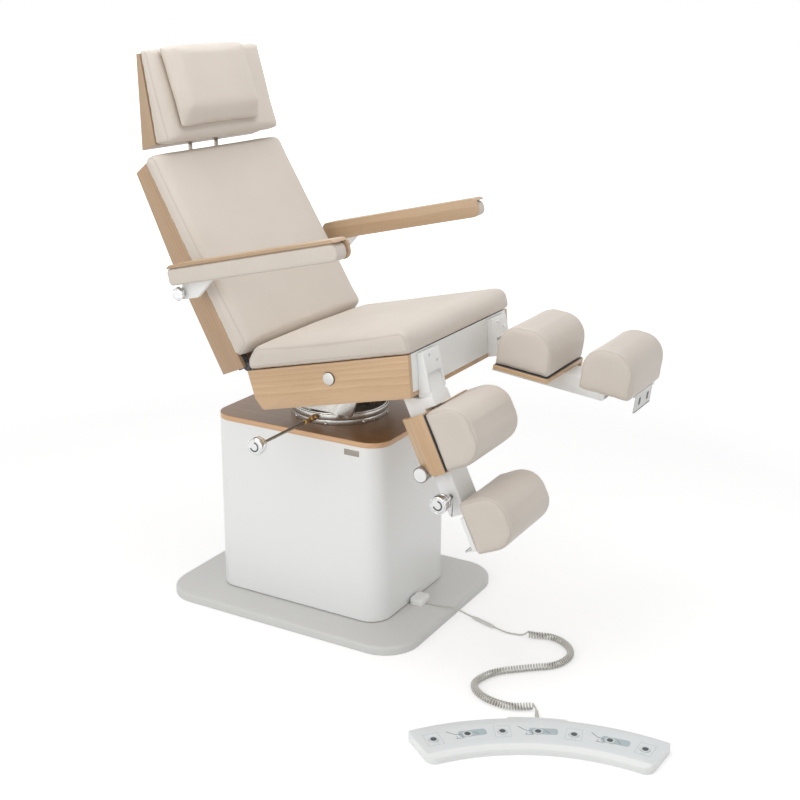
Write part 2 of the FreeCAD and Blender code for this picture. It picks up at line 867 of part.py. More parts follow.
bottom = new_body("seat_bottom", seat_frame)
bottom_front = d.seat_front - d.seat_front_lean
bottom_rear = d.seat_rear - d.seat_rear_lean - d.seat_rear_cut - d.seat_bottom_rear_gap
bottom_corners = ((-side_inner, -bottom_front), (side_inner, -bottom_front),
                  (side_inner, bottom_rear), (-side_inner, bottom_rear))
pad(bottom, outline(bottom, "XY_Plane", bottom_corners, seat_low), d.seat_bottom_thickness)
opening = d.seat_opening_half_width
opening_corners = ((-opening, -d.seat_opening_front), (opening, -d.seat_opening_front),
                   (opening, d.seat_opening_rear), (-opening, d.seat_opening_rear))
pocket(bottom, outline(bottom, "XY_Plane", opening_corners, seat_low),
       d.seat_bottom_thickness * 4, both=True)

# Leg brackets: two deep housings bolted to the frame, open to the front and below
bracket_half = d.leg_width / 2
bracket_rear = -d.frame_front
bracket_pieces = []
bracket_cutters = []
notch_corners = []
for side, side_name in SIDES:
    middle_x = leg_spread * side
    bracket_pieces.append(box("bracket_block_" + side_name, middle_x - bracket_half,
                              middle_x + bracket_half, -d.bracket_front, bracket_rear,
                              seat_low, d.bracket_top))
    inner_half = bracket_half - d.bracket_wall
    bracket_cutters.append(box("bracket_mouth_" + side_name, middle_x - inner_half,
                               middle_x + inner_half, -d.bracket_front - d.overrun,
                               bracket_rear - d.bracket_wall / 2, seat_low - d.overrun,
                               d.bracket_cover_low))
brackets_solid = fuse("brackets_solid", bracket_pieces, kept=False)
brackets_mouths = fuse("brackets_mouths", bracket_cutters, kept=False)
brackets_open = cut("brackets_open", brackets_solid, brackets_mouths, kept=False)
hinge_pins = [rod("hinge_pin_" + side_name, "x", leg_spread * side - bracket_half,
                  leg_spread * side + bracket_half, d.leg_hinge_y, d.leg_hinge_z,
                  d.hinge_pin_radius) for side, side_name in SIDES]
fuse("leg_brackets", [brackets_open] + hinge_pins, seat_frame)

# Notches in the bottom board and the front panel leave room for the brackets
notch_half = bracket_half + d.bracket_clearance
for side, side_name in SIDES:
    low_x = leg_spread * side - notch_half
    high_x = leg_spread * side + notch_half
    rear_y = bracket_rear + d.bracket_clearance
    front_y = -bottom_front - d.overrun
    pocket(bottom, outline(bottom, "XY_Plane", ((low_x, front_y), (high_x, front_y),
                                                (high_x, rear_y), (low_x, rear_y)), seat_low),
           d.seat_bottom_thickness * 4, both=True)

panel = new_body("front_panel", seat_frame)
lean_rate = d.seat_front_lean / (d.seat_top + d.seat_depth_below)
panel_low_y = lean_rate * d.seat_bottom_thickness
panel_corners = (
    (-d.seat_front, d.seat_top),
    (d.seat_front_lean - d.seat_front - panel_low_y, frame_low),
    (d.seat_front_lean - d.seat_front - panel_low_y + d.front_panel_thickness, frame_low),
    (d.front_panel_thickness - d.seat_front, d.seat_top),
)
pad(panel, outline(panel, "YZ_Plane", panel_corners), side_inner * 2, both=True)
for side, side_name in SIDES:
    low_x = leg_spread * side - notch_half
    high_x = leg_spread * side + notch_half
    notch_top = d.bracket_top + d.bracket_clearance
    notch = outline(panel, "XZ_Plane", ((low_x, seat_low), (high_x, seat_low),
                                        (high_x, notch_top), (low_x, notch_top)))
    pocket(panel, notch, d.seat_front * 4, both=True)


# Cushions: lofts across X through rounded outlines, fuller in the middle, drawn in at the sides

def rounded_loop(corners):
    """A closed wire of lines and arcs; each corner is (point, radius)."""
    count = len(corners)
    edges = []
    joints = []
    for i in range(count):
        point, radius = corners[i]
        back_way = (corners[i - 1][0] - point).normalize()
        on_way = (corners[(i + 1) % count][0] - point).normalize()
        half = back_way.getAngle(on_way) / 2
        reach = radius / math.tan(half)
        bisector = (back_way + on_way).normalize()
        nearest = point + bisector * (radius / math.sin(half) - radius)
        joints.append((point + back_way * reach, nearest, point + on_way * reach))
    for i in range(count):
        start, arc_middle, end = joints[i]
        edges.append(Part.Arc(start, arc_middle, end).toShape())
        edges.append(Part.LineSegment(end, joints[(i + 1) % count][0]).toShape())
    return Part.Wire(edges)


def cushion(label, corners, half_width, stations, place, upright):
    """corners: (along, out, radius) Sizes round the side outline, its base first and last."""
    lengths_along = [c[0].value for c in corners]
    centre = (min(lengths_along) + max(lengths_along)) / 2
    loops = []
    one_side = [(-across, fullness, draw) for across, fullness, draw in stations[:0:-1]]
    for across, fullness, draw in one_side + list(stations):
        loop = []
        for along_size, out_size, radius_size in corners:
            along_at = centre + (along_size.value - centre) * (1 - draw)
            out_at = out_size.value * fullness
            x = half_width.value * across
            point = V(x, -out_at, along_at) if upright else V(x, along_at, out_at)
            loop.append((point, radius_size.value * min(fullness, 1)))
        loops.append(rounded_loop(loop))
    solid = Part.makeLoft(loops, True, True)
    if solid.Volume < 0:
        solid.reverse()
    return free_shape(label, solid, place)


seat_cushion_corners = (
    (d.seat_cushion_rear, zero, d.seat_cushion_edge_round),
    (d.seat_cushion_rear, d.seat_cushion_rear_height, d.seat_cushion_rear_round),
    (d.seat_cushion_rear_top, d.seat_cushion_height, d.seat_cushion_rear_top_round),
    (-d.seat_cushion_front, d.seat_cushion_height, d.seat_cushion_front_round),
    (-d.seat_cushion_front, zero, d.seat_cushion_edge_round),
)
cushion_place = seat_frame.multiply(FreeCAD.Placement(V(0, 0, d.seat_top.value),
                                                      FreeCAD.Rotation()))
cushion("seat_cushion", seat_cushion_corners, d.seat_half_width + d.seat_cushion_overhang,
        cushion_shares, cushion_place, upright=False)


# Back, in the back frame: z runs up the back, y to its rear, and y = 0 is the cushion's rear

back_corners = (
    (zero, zero),
    (d.back_depth, d.back_bottom_rise),
    (d.back_knee_depth, d.back_knee_height),
    (d.back_top_depth, d.back_height - d.back_top_drop),
    (zero, d.back_height),
)
back_shell = new_body("back_shell", back_frame)
pad(back_shell, outline(back_shell, "YZ_Plane", back_corners), back_half_width * 2, both=True)
hollow_corners = (
    (-d.overrun, -d.overrun),
    (d.back_depth - d.back_wall, -d.overrun),
    (d.back_knee_depth - d.back_wall, d.back_knee_height),
    (d.back_top_depth - d.back_wall, d.back_height - d.back_top_drop - d.back_wall),
    (-d.overrun, d.back_height - d.back_wall),
)
pocket(back_shell, outline(back_shell, "YZ_Plane", hollow_corners), back_inner * 2, both=True)
for side, side_name in SIDES:
    post_hole = circle(back_shell, "XY_Plane", d.post_spacing * side, d.post_depth,
                       d.post_radius + d.knob_gap, d.back_height)
    pocket(back_shell, post_hole, d.back_wall * 4, both=True)
arm_hole = circle(back_shell, "YZ_Plane", d.arm_pivot_y, d.arm_pivot_z, d.arm_pin_radius)
pocket(back_shell, arm_hole, back_half_width * 4, both=True)

back_pieces = []
back_holes = []
back_frame_top = d.back_height - d.back_top_drop - d.back_wall
arm_pin_end = ear_inner + d.ear_thickness + d.knob_gap + d.arm_knob_length * bore_share
for side, side_name in SIDES:
    back_pieces.append(box("back_tube_" + side_name, tube_inner * side, back_inner * side,
                           zero, d.back_tube_depth, zero, back_frame_top))
    back_pieces.append(rod("back_knuckle_" + side_name, "x", tube_inner * side,
                           back_inner * side, zero, zero, d.recline_knuckle_radius))
    back_pieces.append(rod("recline_pin_" + side_name, "x",
                           (lug_inner - d.overrun) * side, back_inner * side, zero,
                           zero, d.recline_pin_radius))
    back_pieces.append(rod("arm_pin_" + side_name, "x", tube_inner * side, arm_pin_end * side,
                           d.arm_pivot_y, d.arm_pivot_z, d.arm_pin_radius))
    back_pieces.append(rod("post_guide_" + side_name, "z", d.post_guide_low, back_frame_top,
                           d.post_spacing * side, d.post_depth, d.post_guide_radius))
    back_holes.append(rod("post_bore_" + side_name, "z", d.post_guide_low - d.overrun,
                          d.back_height, d.post_spacing * side, d.post_depth,
                          d.post_radius + d.running_fit))
cross_heights = (d.back_cross_low, d.post_guide_low, back_frame_top - d.back_cross_height)
for level, height in enumerate(cross_heights):
    back_pieces.append(box("back_cross_%d" % level, -tube_inner, tube_inner, zero,
                           d.back_tube_depth, height, height + d.back_cross_height))
back_solid = fuse("back_frame_solid", back_pieces, kept=False)
back_bores = fuse("back_frame_bores", back_holes, kept=False)
cut("back_frame", back_solid, back_bores, back_frame)

back_cushion_corners = (
    (d.back_cushion_low, zero, d.back_cushion_edge_round),
    (d.back_cushion_low_front, d.back_cushion_thickness, d.back_cushion_edge_round),
    (d.back_cushion_top, d.back_cushion_top_thickness, d.back_cushion_round),
    (d.back_cushion_top, zero, d.back_cushion_edge_round),
)
cushion("back_cushion", back_cushion_corners, back_half_width + d.back_cushion_overhang,
        upright_shares, back_frame, upright=True)


# Headrest: two posts bent to the headrest's own angle, a wooden wedge, a pad and a neck pillow

bend = math.radians(angles["post_bend_angle"])
post_pieces = []
for side, side_name in SIDES:
    lower = rod("post_lower_" + side_name, "z", d.post_foot, d.post_bend,
                d.post_spacing * side, d.post_depth, d.post_radius)
    elbow = doc.addObject("Part::Sphere", "post_elbow_" + side_name)
    elbow.Radius = d.post_radius.value
    bind(elbow, "Radius", d.post_radius)
    upper = doc.addObject("Part::Cylinder", "post_upper_" + side_name)
    upper.Radius = d.post_radius.value
    upper.Height = d.post_top_length.value
    bind(upper, "Radius", d.post_radius)
    bind(upper, "Height", d.post_top_length)
    upper.Placement = FreeCAD.Placement(V(), turned(d.post_bend_angle))
    for piece in (elbow, upper):
        bind(piece, "Placement.Base.x", d.post_spacing * side)
        bind(piece, "Placement.Base.y", d.post_depth)
        bind(piece, "Placement.Base.z", d.post_bend)
    post_pieces += [lower, elbow, upper]
posts = fuse("headrest_posts", post_pieces, back_frame)

head_wood_solid = new_body("headrest_wood_solid", head_frame)
parts.remove(head_wood_solid)
head_corners = (
    (zero, zero),
    (d.head_wood_depth, -d.head_wood_drop),
    (d.head_wood_top_depth, d.head_wood_height),
    (zero, d.head_wood_height),
)
pad(head_wood_solid, outline(head_wood_solid, "YZ_Plane", head_corners), d.head_half_width * 2,
    both=True)
cut("headrest_wood", head_wood_solid, posts)

head_pad_corners = (
    (d.head_pad_low, zero, d.head_pad_edge_round),
    (d.head_pad_low, d.head_pad_thickness, d.head_pad_round),
    (d.head_pad_height, d.head_pad_top_thickness, d.head_pad_top_round),
    (d.head_pad_height, zero, d.head_pad_edge_round),
)
cushion("headrest_pad", head_pad_corners, d.head_pad_half_width, upright_shares, head_frame,
        upright=True)

# The pillow lies on the pad's sloping face, clear of its crown and nearer the sitter's right
slope_rise = d.head_pad_height.value - d.head_pad_low.value
slope_run = d.head_pad_thickness.value - d.head_pad_top_thickness.value
crown = max(share[1] for share in upright_shares)
slope = math.degrees(math.atan2(slope_run * crown, slope_rise))
pillow_frame = head_frame.multiply(FreeCAD.Placement(
    V(0, -d.head_pad_thickness.value * crown - d.pillow_gap.value, d.head_pad_low.value),
    turned(-slope)))
pillow_corners = (
    (d.pillow_low, zero, d.pillow_edge_round),
    (d.pillow_low, d.pillow_edge, d.pillow_edge_round),
    (d.pillow_low + d.pillow_low_slope, d.pillow_thickness, d.pillow_round),
    (d.pillow_top - d.pillow_top_slope, d.pillow_thickness, d.pillow_round),
    (d.pillow_top, d.pillow_edge, d.pillow_edge_round),
    (d.pillow_top, zero, d.pillow_edge_round),
)
cushion("neck_pillow", pillow_corners, d.pillow_half_width, pillow_shares,
        shifted(pillow_frame, d.pillow_shift), upright=True)


# Arms, in the arm frame: the pin is the origin and y runs to the rear

for side, side_name in SIDES:
    outer_x = arm_inner + d.arm_width
    wood_corners = (
        (-d.arm_front, d.arm_low), (d.arm_rear, d.arm_low),
        (d.arm_rear, d.arm_high), (-d.arm_front, d.arm_high),
    )
    lift = arm_inner if side == LEFT else -outer_x
    wood = new_body("arm_wood_" + side_name, arm_frame)
    pad(wood, outline(wood, "YZ_Plane", wood_corners, lift), d.arm_width)

    def front_corner(edge):
        return along(X_AXIS)(edge) and edge.Vertexes[0].Point.y < 0

    def rear_corner(edge):
        return along(X_AXIS)(edge) and edge.Vertexes[0].Point.y > 0

    soften(wood, front_corner, d.arm_front_corner)
    soften(wood, rear_corner, d.arm_corner)
    under = d.arm_high - d.arm_wood_thickness
    room_corners = (
        (-d.arm_front - d.overrun, d.arm_low - d.overrun),
        (d.arm_rear + d.overrun, d.arm_low - d.overrun),
        (d.arm_rear + d.overrun, under), (-d.arm_front - d.overrun, under),
    )
    room_lift = arm_inner + d.arm_wood_thickness if side == LEFT else -outer_x - d.overrun
    pocket(wood, outline(wood, "YZ_Plane", room_corners, room_lift),
           d.arm_width - d.arm_wood_thickness + d.overrun, forward=True)
    pad_corners = (
        (d.arm_pad_back - d.arm_front, d.arm_low), (d.arm_rear, d.arm_low),
        (d.arm_rear, under), (d.arm_pad_back - d.arm_front, under),
    )
    soft = new_body("arm_pad_" + side_name, arm_frame)
    pad_lift = arm_inner + d.arm_wood_thickness if side == LEFT else -outer_x
    pad(soft, outline(soft, "YZ_Plane", pad_corners, pad_lift),
        d.arm_width - d.arm_wood_thickness)
    soften(soft, front_corner, d.arm_corner)
    soften(soft, rear_corner, d.arm_corner / 2)

    ear_corners = (
        (-d.ear_front, d.arm_low), (-d.ear_low_front, -d.ear_low), (zero, -d.ear_low),
        (d.ear_rear, zero), (d.arm_rear - d.arm_corner, d.arm_low),
    )
    ear_outer = ear_inner + d.ear_thickness
    plate = prism("ear_plate_" + side_name, ear_corners, ear_inner * side, ear_outer * side)
    ear_bore = rod("ear_bore_" + side_name, "x", arm_inner * side,
                   (ear_outer + d.overrun) * side, zero, zero,
                   d.arm_pin_radius + d.running_fit)
    cut("arm_bracket_" + side_name, plate, ear_bore, arm_frame)
    knob_from = (ear_outer + d.knob_gap) * side
    knob_to = knob_from + d.arm_knob_length * side
    knob("arm_knob_" + side_name, knob_from, knob_to, zero, zero, d.arm_knob_radius,
         d.knob_rim, d.arm_pin_radius + d.running_fit, arm_frame, side)


# Leg rests, each in its own leg frame: the hinge is the origin, -y runs down the leg and
# +z is the side that the calf lies on

for side, side_name in SIDES:
    leg = leg_frames[side]
    half = d.leg_width / 2
    rear_face = -d.leg_face - d.leg_depth
    tube = new_body("leg_tube_" + side_name, leg)
    tube_corners = (
        (-d.leg_start, d.leg_block_height), (-d.leg_block_end, d.leg_block_height),
        (-d.leg_block_end, -d.leg_face), (-d.leg_end, -d.leg_face), (-d.leg_end, rear_face),
        (-d.leg_rear_start, rear_face), (-d.leg_start, -d.leg_face),
    )
    pad(tube, outline(tube, "YZ_Plane", tube_corners), d.leg_width, both=True)

    def lower_rear_corner(edge):
        point = edge.Vertexes[0].Point
        at_rear = point.z < -d.leg_face.value - d.leg_depth.value / 2
        return along(X_AXIS)(edge) and same(point.y, -d.leg_end.value) and at_rear

    soften(tube, lower_rear_corner, d.leg_end_round)
    knuckle_width = d.leg_width - (d.bracket_wall + d.bracket_clearance) * 2
    pad(tube, circle(tube, "YZ_Plane", zero, zero, d.knuckle_radius), knuckle_width, both=True)
    neck_corners = (
        (zero, d.leg_block_height), (-d.leg_start - d.overrun, d.leg_block_height),
        (-d.leg_start - d.overrun, -d.knuckle_radius), (zero, -d.knuckle_radius),
    )
    pad(tube, outline(tube, "YZ_Plane", neck_corners), knuckle_width, both=True)
    cavity_corners = (
        (-d.leg_cavity_start, -d.leg_face - d.leg_wall),
        (-d.leg_end - d.overrun, -d.leg_face - d.leg_wall),
        (-d.leg_end - d.overrun, rear_face + d.leg_wall),
        (-d.leg_cavity_start, rear_face + d.leg_wall),
    )
    cavity_width = d.leg_width - d.leg_wall * 2
    pocket(tube, outline(tube, "YZ_Plane", cavity_corners), cavity_width, both=True)
    pin_bore = circle(tube, "YZ_Plane", zero, zero, d.hinge_pin_radius + d.running_fit)
    pocket(tube, pin_bore, d.leg_width * 2, both=True)
    screw_z = -d.leg_face - d.leg_depth / 2
    screw_hole = circle(tube, "YZ_Plane", -d.leg_knob_at, screw_z,
                        d.leg_knob_stem_radius + d.running_fit, half * side)
    pocket(tube, screw_hole, d.leg_wall * 4, both=True)

    # Lock knob with its stem in the tube's outer wall
    stem_end = (half - d.leg_wall + d.leg_knob_reach + d.leg_knob_length * bore_share) * side
    stem = rod("leg_stem_" + side_name, "x", (half - d.leg_wall) * side, stem_end,
               -d.leg_knob_at, screw_z, d.leg_knob_stem_radius)
    grip_from = (half + d.leg_knob_reach) * side
    grip_to = grip_from + d.leg_knob_length * side
    grip = rod("leg_grip_" + side_name, "x", grip_from, grip_to, -d.leg_knob_at, screw_z,
               d.leg_knob_radius)
    collar_to = grip_from - d.leg_knob_reach * neck_share * side
    collar = rod("leg_collar_" + side_name, "x", grip_from, collar_to, -d.leg_knob_at, screw_z,
                 d.leg_knob_radius - d.knob_rim)
    fuse("leg_knob_" + side_name, [stem, grip, collar], leg)

    # Slider: a shoe inside the tube, a flat bar, the heel plate and a slotted end flange
    shoe_half = cavity_width / 2 - d.slide_gap
    shoe_top = -d.leg_face - d.leg_wall - d.slide_gap
    shoe_low = rear_face + d.leg_wall + d.slide_gap
    bar_half = d.slider_width / 2
    bar_low = d.slider_top - d.slider_thickness
    shoe = box("shoe_" + side_name, -shoe_half, shoe_half, -d.shoe_start - d.shoe_length,
               -d.shoe_start, shoe_low, shoe_top)
    bar = box("bar_" + side_name, -bar_half, bar_half, -d.flange_at, -d.shoe_start, bar_low,
              d.slider_top)
    plate_outer = (d.pad_outer_reach - d.overrun * 2) * side
    plate_inner = plate_outer - d.heel_plate_width * side
    heel_plate = box("heel_plate_" + side_name, plate_inner, plate_outer, -d.flange_at,
                     -d.heel_plate_start, d.slider_top, d.heel_base)
    flange_outer = half * side
    flange_inner = flange_outer - d.flange_width * side
    flange = box("flange_" + side_name, flange_inner, flange_outer,
                 -d.flange_at - d.flange_thickness, -d.flange_at, -d.flange_low, d.heel_base)
    slot_middle = (flange_outer + flange_inner) / 2
    slots = [box("slot_%s_%d" % (side_name, i),
                 slot_middle + d.slot_spacing * i / 2 - d.slot_width / 2,
                 slot_middle + d.slot_spacing * i / 2 + d.slot_width / 2,
                 -d.flange_at - d.flange_thickness - d.overrun, d.overrun - d.flange_at,
                 -d.slot_drop - d.slot_height, -d.slot_drop) for i in (-1, 1)]
    slider_solid = fuse("slider_solid_" + side_name, [shoe, bar, heel_plate, flange],
                        kept=False)
    slot_cutters = fuse("slot_cutters_" + side_name, slots, kept=False)
    cut("leg_slider_" + side_name, slider_solid, slot_cutters, leg)

    # Calf board: a bent board under the calf pad that wraps the tube's outer side
    board = new_body("calf_board_" + side_name, leg)
    outer = d.pad_outer_reach
    inner_end = outer - d.pad_width
    turn = outer - d.skirt_turn
    thick = d.board_thickness
    under_end = turn - d.skirt_under
    side_bend = (outer, -d.skirt_side)
    turn_bend = (turn, -d.skirt_depth)
    turn_inside = (turn - thick / 2, thick - d.skirt_depth)
    side_inside = (outer - thick, thick / 4 - d.skirt_side)
    board_points = (
        (inner_end, zero), (outer, zero), side_bend, turn_bend,
        (under_end, -d.skirt_depth), (under_end, thick - d.skirt_depth),
        turn_inside, side_inside, (outer - thick, -thick), (inner_end, -thick),
    )
    board_corners = tuple((across * side, up) for across, up in board_points)
    pad(board, outline(board, "XZ_Plane", board_corners, d.calf_start),
        d.calf_end - d.calf_start)
    bends = (
        (side_bend, d.skirt_side_round), (side_inside, d.skirt_side_round - thick),
        (turn_bend, d.skirt_turn_round), (turn_inside, d.skirt_turn_round - thick),
    )
    for (across, up), rounding in bends:
        def bend_edge(edge):
            point = edge.Vertexes[0].Point
            at_bend = same(point.x, across.value * side) and same(point.z, up.value)
            return along(Y_AXIS)(edge) and at_bend

        soften(board, bend_edge, rounding)
    end_cut = (
        (-d.calf_end - d.overrun, -d.skirt_side), (-d.calf_end, -d.skirt_side),
        (d.skirt_end_cut - d.calf_end, -d.skirt_depth),
        (d.skirt_end_cut - d.calf_end, -d.skirt_depth - d.overrun),
        (-d.calf_end - d.overrun, -d.skirt_depth - d.overrun),
    )
    pocket(board, outline(board, "YZ_Plane", end_cut), d.pad_width * 2, both=True)

    # Calf and heel pads: D-shaped sections with a rounded seam at each end
    pads = (("calf_pad_", d.calf_start, d.calf_end, zero, d.calf_height, d.calf_round),
            ("heel_pad_", d.heel_start, d.heel_end, d.heel_base, d.heel_height, d.heel_round))
    for pad_name, start, end, base, height, rounding in pads:
        soft = new_body(pad_name + side_name, leg)
        pad_corners = ((-start, base), (-end, base), (-end, height), (-start, height))
        lift = outer - d.pad_width if side == LEFT else -outer
        pad(soft, outline(soft, "YZ_Plane", pad_corners, lift), d.pad_width)

        def crown_edge(edge):
            return along(X_AXIS)(edge) and edge.Vertexes[0].Point.z > height.value / 2

        soften(soft, crown_edge, rounding)
        ends = (lift.value, lift.value + d.pad_width.value)

        def seam_edge(edge):
            span = edge.BoundBox
            at_end = any(same(span.XMin, x) and same(span.XMax, x) for x in ends)
            return at_end and span.ZMax > base.value + touching

        soften(soft, seam_edge, d.pad_seam_round)


# Foot control: a curved bar made by turning its section about the middle of its curve

control_frame = FreeCAD.Placement(V(d.control_x.value, d.control_y.value, 0),
                                  turned(d.control_turn, Z_AXIS))


def turned_bar(label, corners, sweep, place, kept=True):
    body = doc.addObject("PartDesign::Body", label)
    body.Placement = place
    sketch = outline(body, "XZ_Plane", corners)
    feature = body.newObject("PartDesign::Revolution", label + "_turn")
    feature.Profile = sketch
    spin = next(f for f in body.Origin.OriginFeatures if f.Role == "Z_Axis")
    feature.ReferenceAxis = (spin, [""])
    feature.Angle = sweep.value
    feature.Midplane = True
    bind(feature, "Angle", sweep)
    doc.recompute()
    return keep(body, label) if kept else body


control_base = turned_bar("foot_control_base", (
    (d.control_inner, zero), (d.control_outer, zero),
    (d.control_outer, d.control_base_height), (d.control_inner, d.control_base_height),
), d.control_sweep, control_frame)
soften(control_base, along(Z_AXIS), d.control_end_round)

shoulder = d.control_height - d.control_bevel_height
cover_solid = turned_bar("cover_solid", (
    (d.control_inner, d.control_base_height), (d.control_outer, d.control_base_height),
    (d.control_outer, shoulder), (d.control_outer - d.control_bevel, d.control_height),
    (d.control_inner + d.control_bevel, d.control_height), (d.control_inner, shoulder),
), d.control_sweep, control_frame, kept=False)
soften(cover_solid, along(Z_AXIS), d.control_end_round)
cover_top = d.control_height - d.control_wall
cavity_sweep = d.control_sweep - d.control_wall * 2 / d.button_circle * (360 / math.pi)
cover_room = turned_bar("cover_room", (
    (d.control_inner + d.control_wall, d.control_base_height - d.overrun),
    (d.control_outer - d.control_wall, d.control_base_height - d.overrun),
    (d.control_outer - d.control_wall, shoulder - d.control_wall / 2),
    (d.control_outer - d.control_wall - d.control_bevel / 2, cover_top),
    (d.control_inner + d.control_wall + d.control_bevel / 2, cover_top),
    (d.control_inner + d.control_wall, shoulder - d.control_wall / 2),
), cavity_sweep, control_frame, kept=False)
soften(cover_room, along(Z_AXIS), d.control_end_round)
hump = turned_bar("cover_hump", (
    (d.control_outer - d.control_wall, d.control_base_height),
    (d.control_outer + d.control_hump_depth, d.control_base_height),
    (d.control_outer + d.control_hump_depth, shoulder - d.control_wall),
    (d.control_outer - d.control_wall, shoulder),
), d.control_hump_sweep, control_frame, kept=False)
cover_whole = fuse("cover_whole", [cover_solid, hump], kept=False)
button_places = []
for i in range(counts["button_count"]):
    offset = (i - (counts["button_count"] - 1) / 2) * angles["button_step"]
    turn_to = turned(d.control_turn.value + offset, Z_AXIS)
    spot = turn_to.multVec(V(d.button_circle.value, 0, 0))
    button_places.append(V(d.control_x.value + spot.x, d.control_y.value + spot.y, 0))
button_low = d.control_height + d.button_proud - d.button_depth
hole_tools = []
for i, spot in enumerate(button_places):
    hole = rod("button_hole_%d" % i, "z", d.control_base_height, d.control_height + d.overrun,
               Size(spot.x, repr(spot.x)), Size(spot.y, repr(spot.y)),
               d.button_radius + d.button_gap)
    hole_tools.append(hole)
    button = rod("button_%d" % (i + 1), "z", button_low, d.control_height + d.button_proud,
                 Size(spot.x, repr(spot.x)), Size(spot.y, repr(spot.y)), d.button_radius)
    keep(button, "button_%d" % (i + 1))
cover_cutters = fuse("cover_cutters", [cover_room] + hole_tools, kept=False)
cut("foot_control_cover", cover_whole, cover_cutters)


# Cord outlet on the base plate, in front of the pedestal

outlet = new_body("cord_outlet")
outlet_back = -d.pedestal_length / 2 - d.outlet_gap
outlet_corners = (
    (d.outlet_x - d.outlet_width / 2, outlet_back - d.outlet_length),
    (d.outlet_x + d.outlet_width / 2, outlet_back - d.outlet_length),
    (d.outlet_x + d.outlet_width / 2, outlet_back),
    (d.outlet_x - d.outlet_width / 2, outlet_back),
)
pad(outlet, outline(outlet, "XY_Plane", outlet_corners, d.plate_thickness), d.outlet_height)
soften(outlet, along(Z_AXIS), d.outlet_round)
soften(outlet, top_edges(d.plate_thickness + d.outlet_height), d.outlet_round / 2)


# Cord: straight runs joined by tangent arcs

def arc_route(points, name):
    """A wire of runs and tangent arcs; each arc is as large as its two runs allow."""
    edges = []
    start = points[0]
    radii = []
    run_share = 0.45
    for i in range(1, len(points) - 1):
        into = points[i] - points[i - 1]
        out = points[i + 1] - points[i]
        shorter = min(into.Length, out.Length)
        into.normalize()
        out.normalize()
        half_turn = into.getAngle(out) / 2
        reach = run_share * shorter
        radius = reach / math.tan(half_turn)
        radii.append(radius)
        first = points[i] - into * reach
        last = points[i] + out * reach
        inward = (out - into).normalize()
        arc_middle = points[i] + inward * (radius / math.cos(half_turn) - radius)
        edges.append(Part.LineSegment(start, first).toShape())
        edges.append(Part.Arc(first, arc_middle, last).toShape())
        start = last
    edges.append(Part.LineSegment(start, points[-1]).toShape())
    print(name, "arc radii", [round(r, 1) for r in radii])
    return Part.Wire(edges)


def tube_along(wire, radius, name):
    """A round tube on a wire, with its volume checked against section times length."""
    first = wire.Edges[0]
    start = first.valueAt(first.FirstParameter)
    direction = first.tangentAt(first.FirstParameter)
    section = Part.Wire(Part.Circle(start, direction, radius).toShape())
    tube = wire.makePipeShell([section], True, False)
    expected = math.pi * radius * radius * wire.Length
    print(name, "length %.1f, volume share %.4f" % (wire.Length, tube.Volume / expected))
    return tube


cord_radius = d.cord_diameter.value / 2
lead_points = [V(*point) for point in lead_route]
lead_points[0].y = (outlet_back - d.outlet_length).value
free_shape("foot_lead", tube_along(arc_route(lead_points, "foot_lead"), cord_radius,
                                   "foot_lead"))
tail_points = [V(*point) for point in tail_route]
free_shape("foot_lead_tail", tube_along(arc_route(tail_points, "foot_lead_tail"), cord_radius,
                                        "foot_lead_tail"))

# Sleeve in the lead: a barrel with tapered ends, face to face with the lead
sleeve_from, sleeve_to = (V(*point) for point in sleeve_route)
sleeve_axis = sleeve_to - sleeve_from
sleeve_radius = d.sleeve_diameter.value / 2
taper_share = 0.22
end_share = 0.62
sleeve_profile = (
    (0.0, 0.0), (end_share * sleeve_radius, 0.0),
    (sleeve_radius, taper_share * sleeve_axis.Length),
    (sleeve_radius, (1 - taper_share) * sleeve_axis.Length),
    (end_share * sleeve_radius, sleeve_axis.Length), (0.0, sleeve_axis.Length),
)


def lathe(profile, start, axis):
    """A solid turned from (radius, height) points, standing on start along axis."""
    points = [V(radius, 0, height) for radius, height in profile]
    face = Part.Face(Part.makePolygon(points + points[:1]))
    solid = face.revolve(V(), Z_AXIS, 360)
    solid.Placement = FreeCAD.Placement(start, FreeCAD.Rotation(Z_AXIS, axis))
    return solid


free_shape("lead_sleeve", lathe(sleeve_profile, sleeve_from, sleeve_axis))

# Strain relief where the curly cord enters the foot control
control_way = turned(d.control_turn, Z_AXIS).multVec(X_AXIS)
control_centre = V(d.control_x.value, d.control_y.value, 0)
relief_inner = d.control_outer.value + d.control_hump_depth.value
relief_low = control_centre + control_way * relief_inner + Z_AXIS * d.relief_height.value
relief_top = relief_low + control_way * d.relief_length.value
relief_profile = (
    (0.0, 0.0), (d.relief_wide.value / 2, 0.0),
    (d.relief_narrow.value / 2, d.relief_length.value), (0.0, d.relief_length.value),
)
free_shape("strain_relief", lathe(relief_profile, relief_low, control_way))


# Curly cord: one unbroken tube whose curls follow the centre line over the floor

def smooth_line(points):
    """A quadratic curve that the given points steer, ending on the first and last."""
    inner = len(points) - 2
    knots = list(range(inner + 1))
    mults = [3] + [1] * (inner - 1) + [3]
    curve = Part.BSplineCurve()
    curve.buildFromPolesMultsKnots(points, mults, knots, False, 2)
    return curve


def biarc(p0, t0, p1, t1):
    """Two arcs that leave p0 along t0 and reach p1 along t1."""
    chord = p1 - p0
    total = t0 + t1
    spread = 2 * (1 - t0.dot(t1))
    if spread < 1e-9:
        reach = chord.dot(chord) / (4 * chord.dot(t1))
    else:
        along_total = chord.dot(total)
        root = math.sqrt(along_total * along_total + spread * chord.dot(chord))
        reach = (root - along_total) / spread
    joint = (p0 + p1 + (t0 - t1) * reach) * 0.5
    return [half_arc(p0, t0, joint), half_arc(p1, -t1, joint, flip=True)]


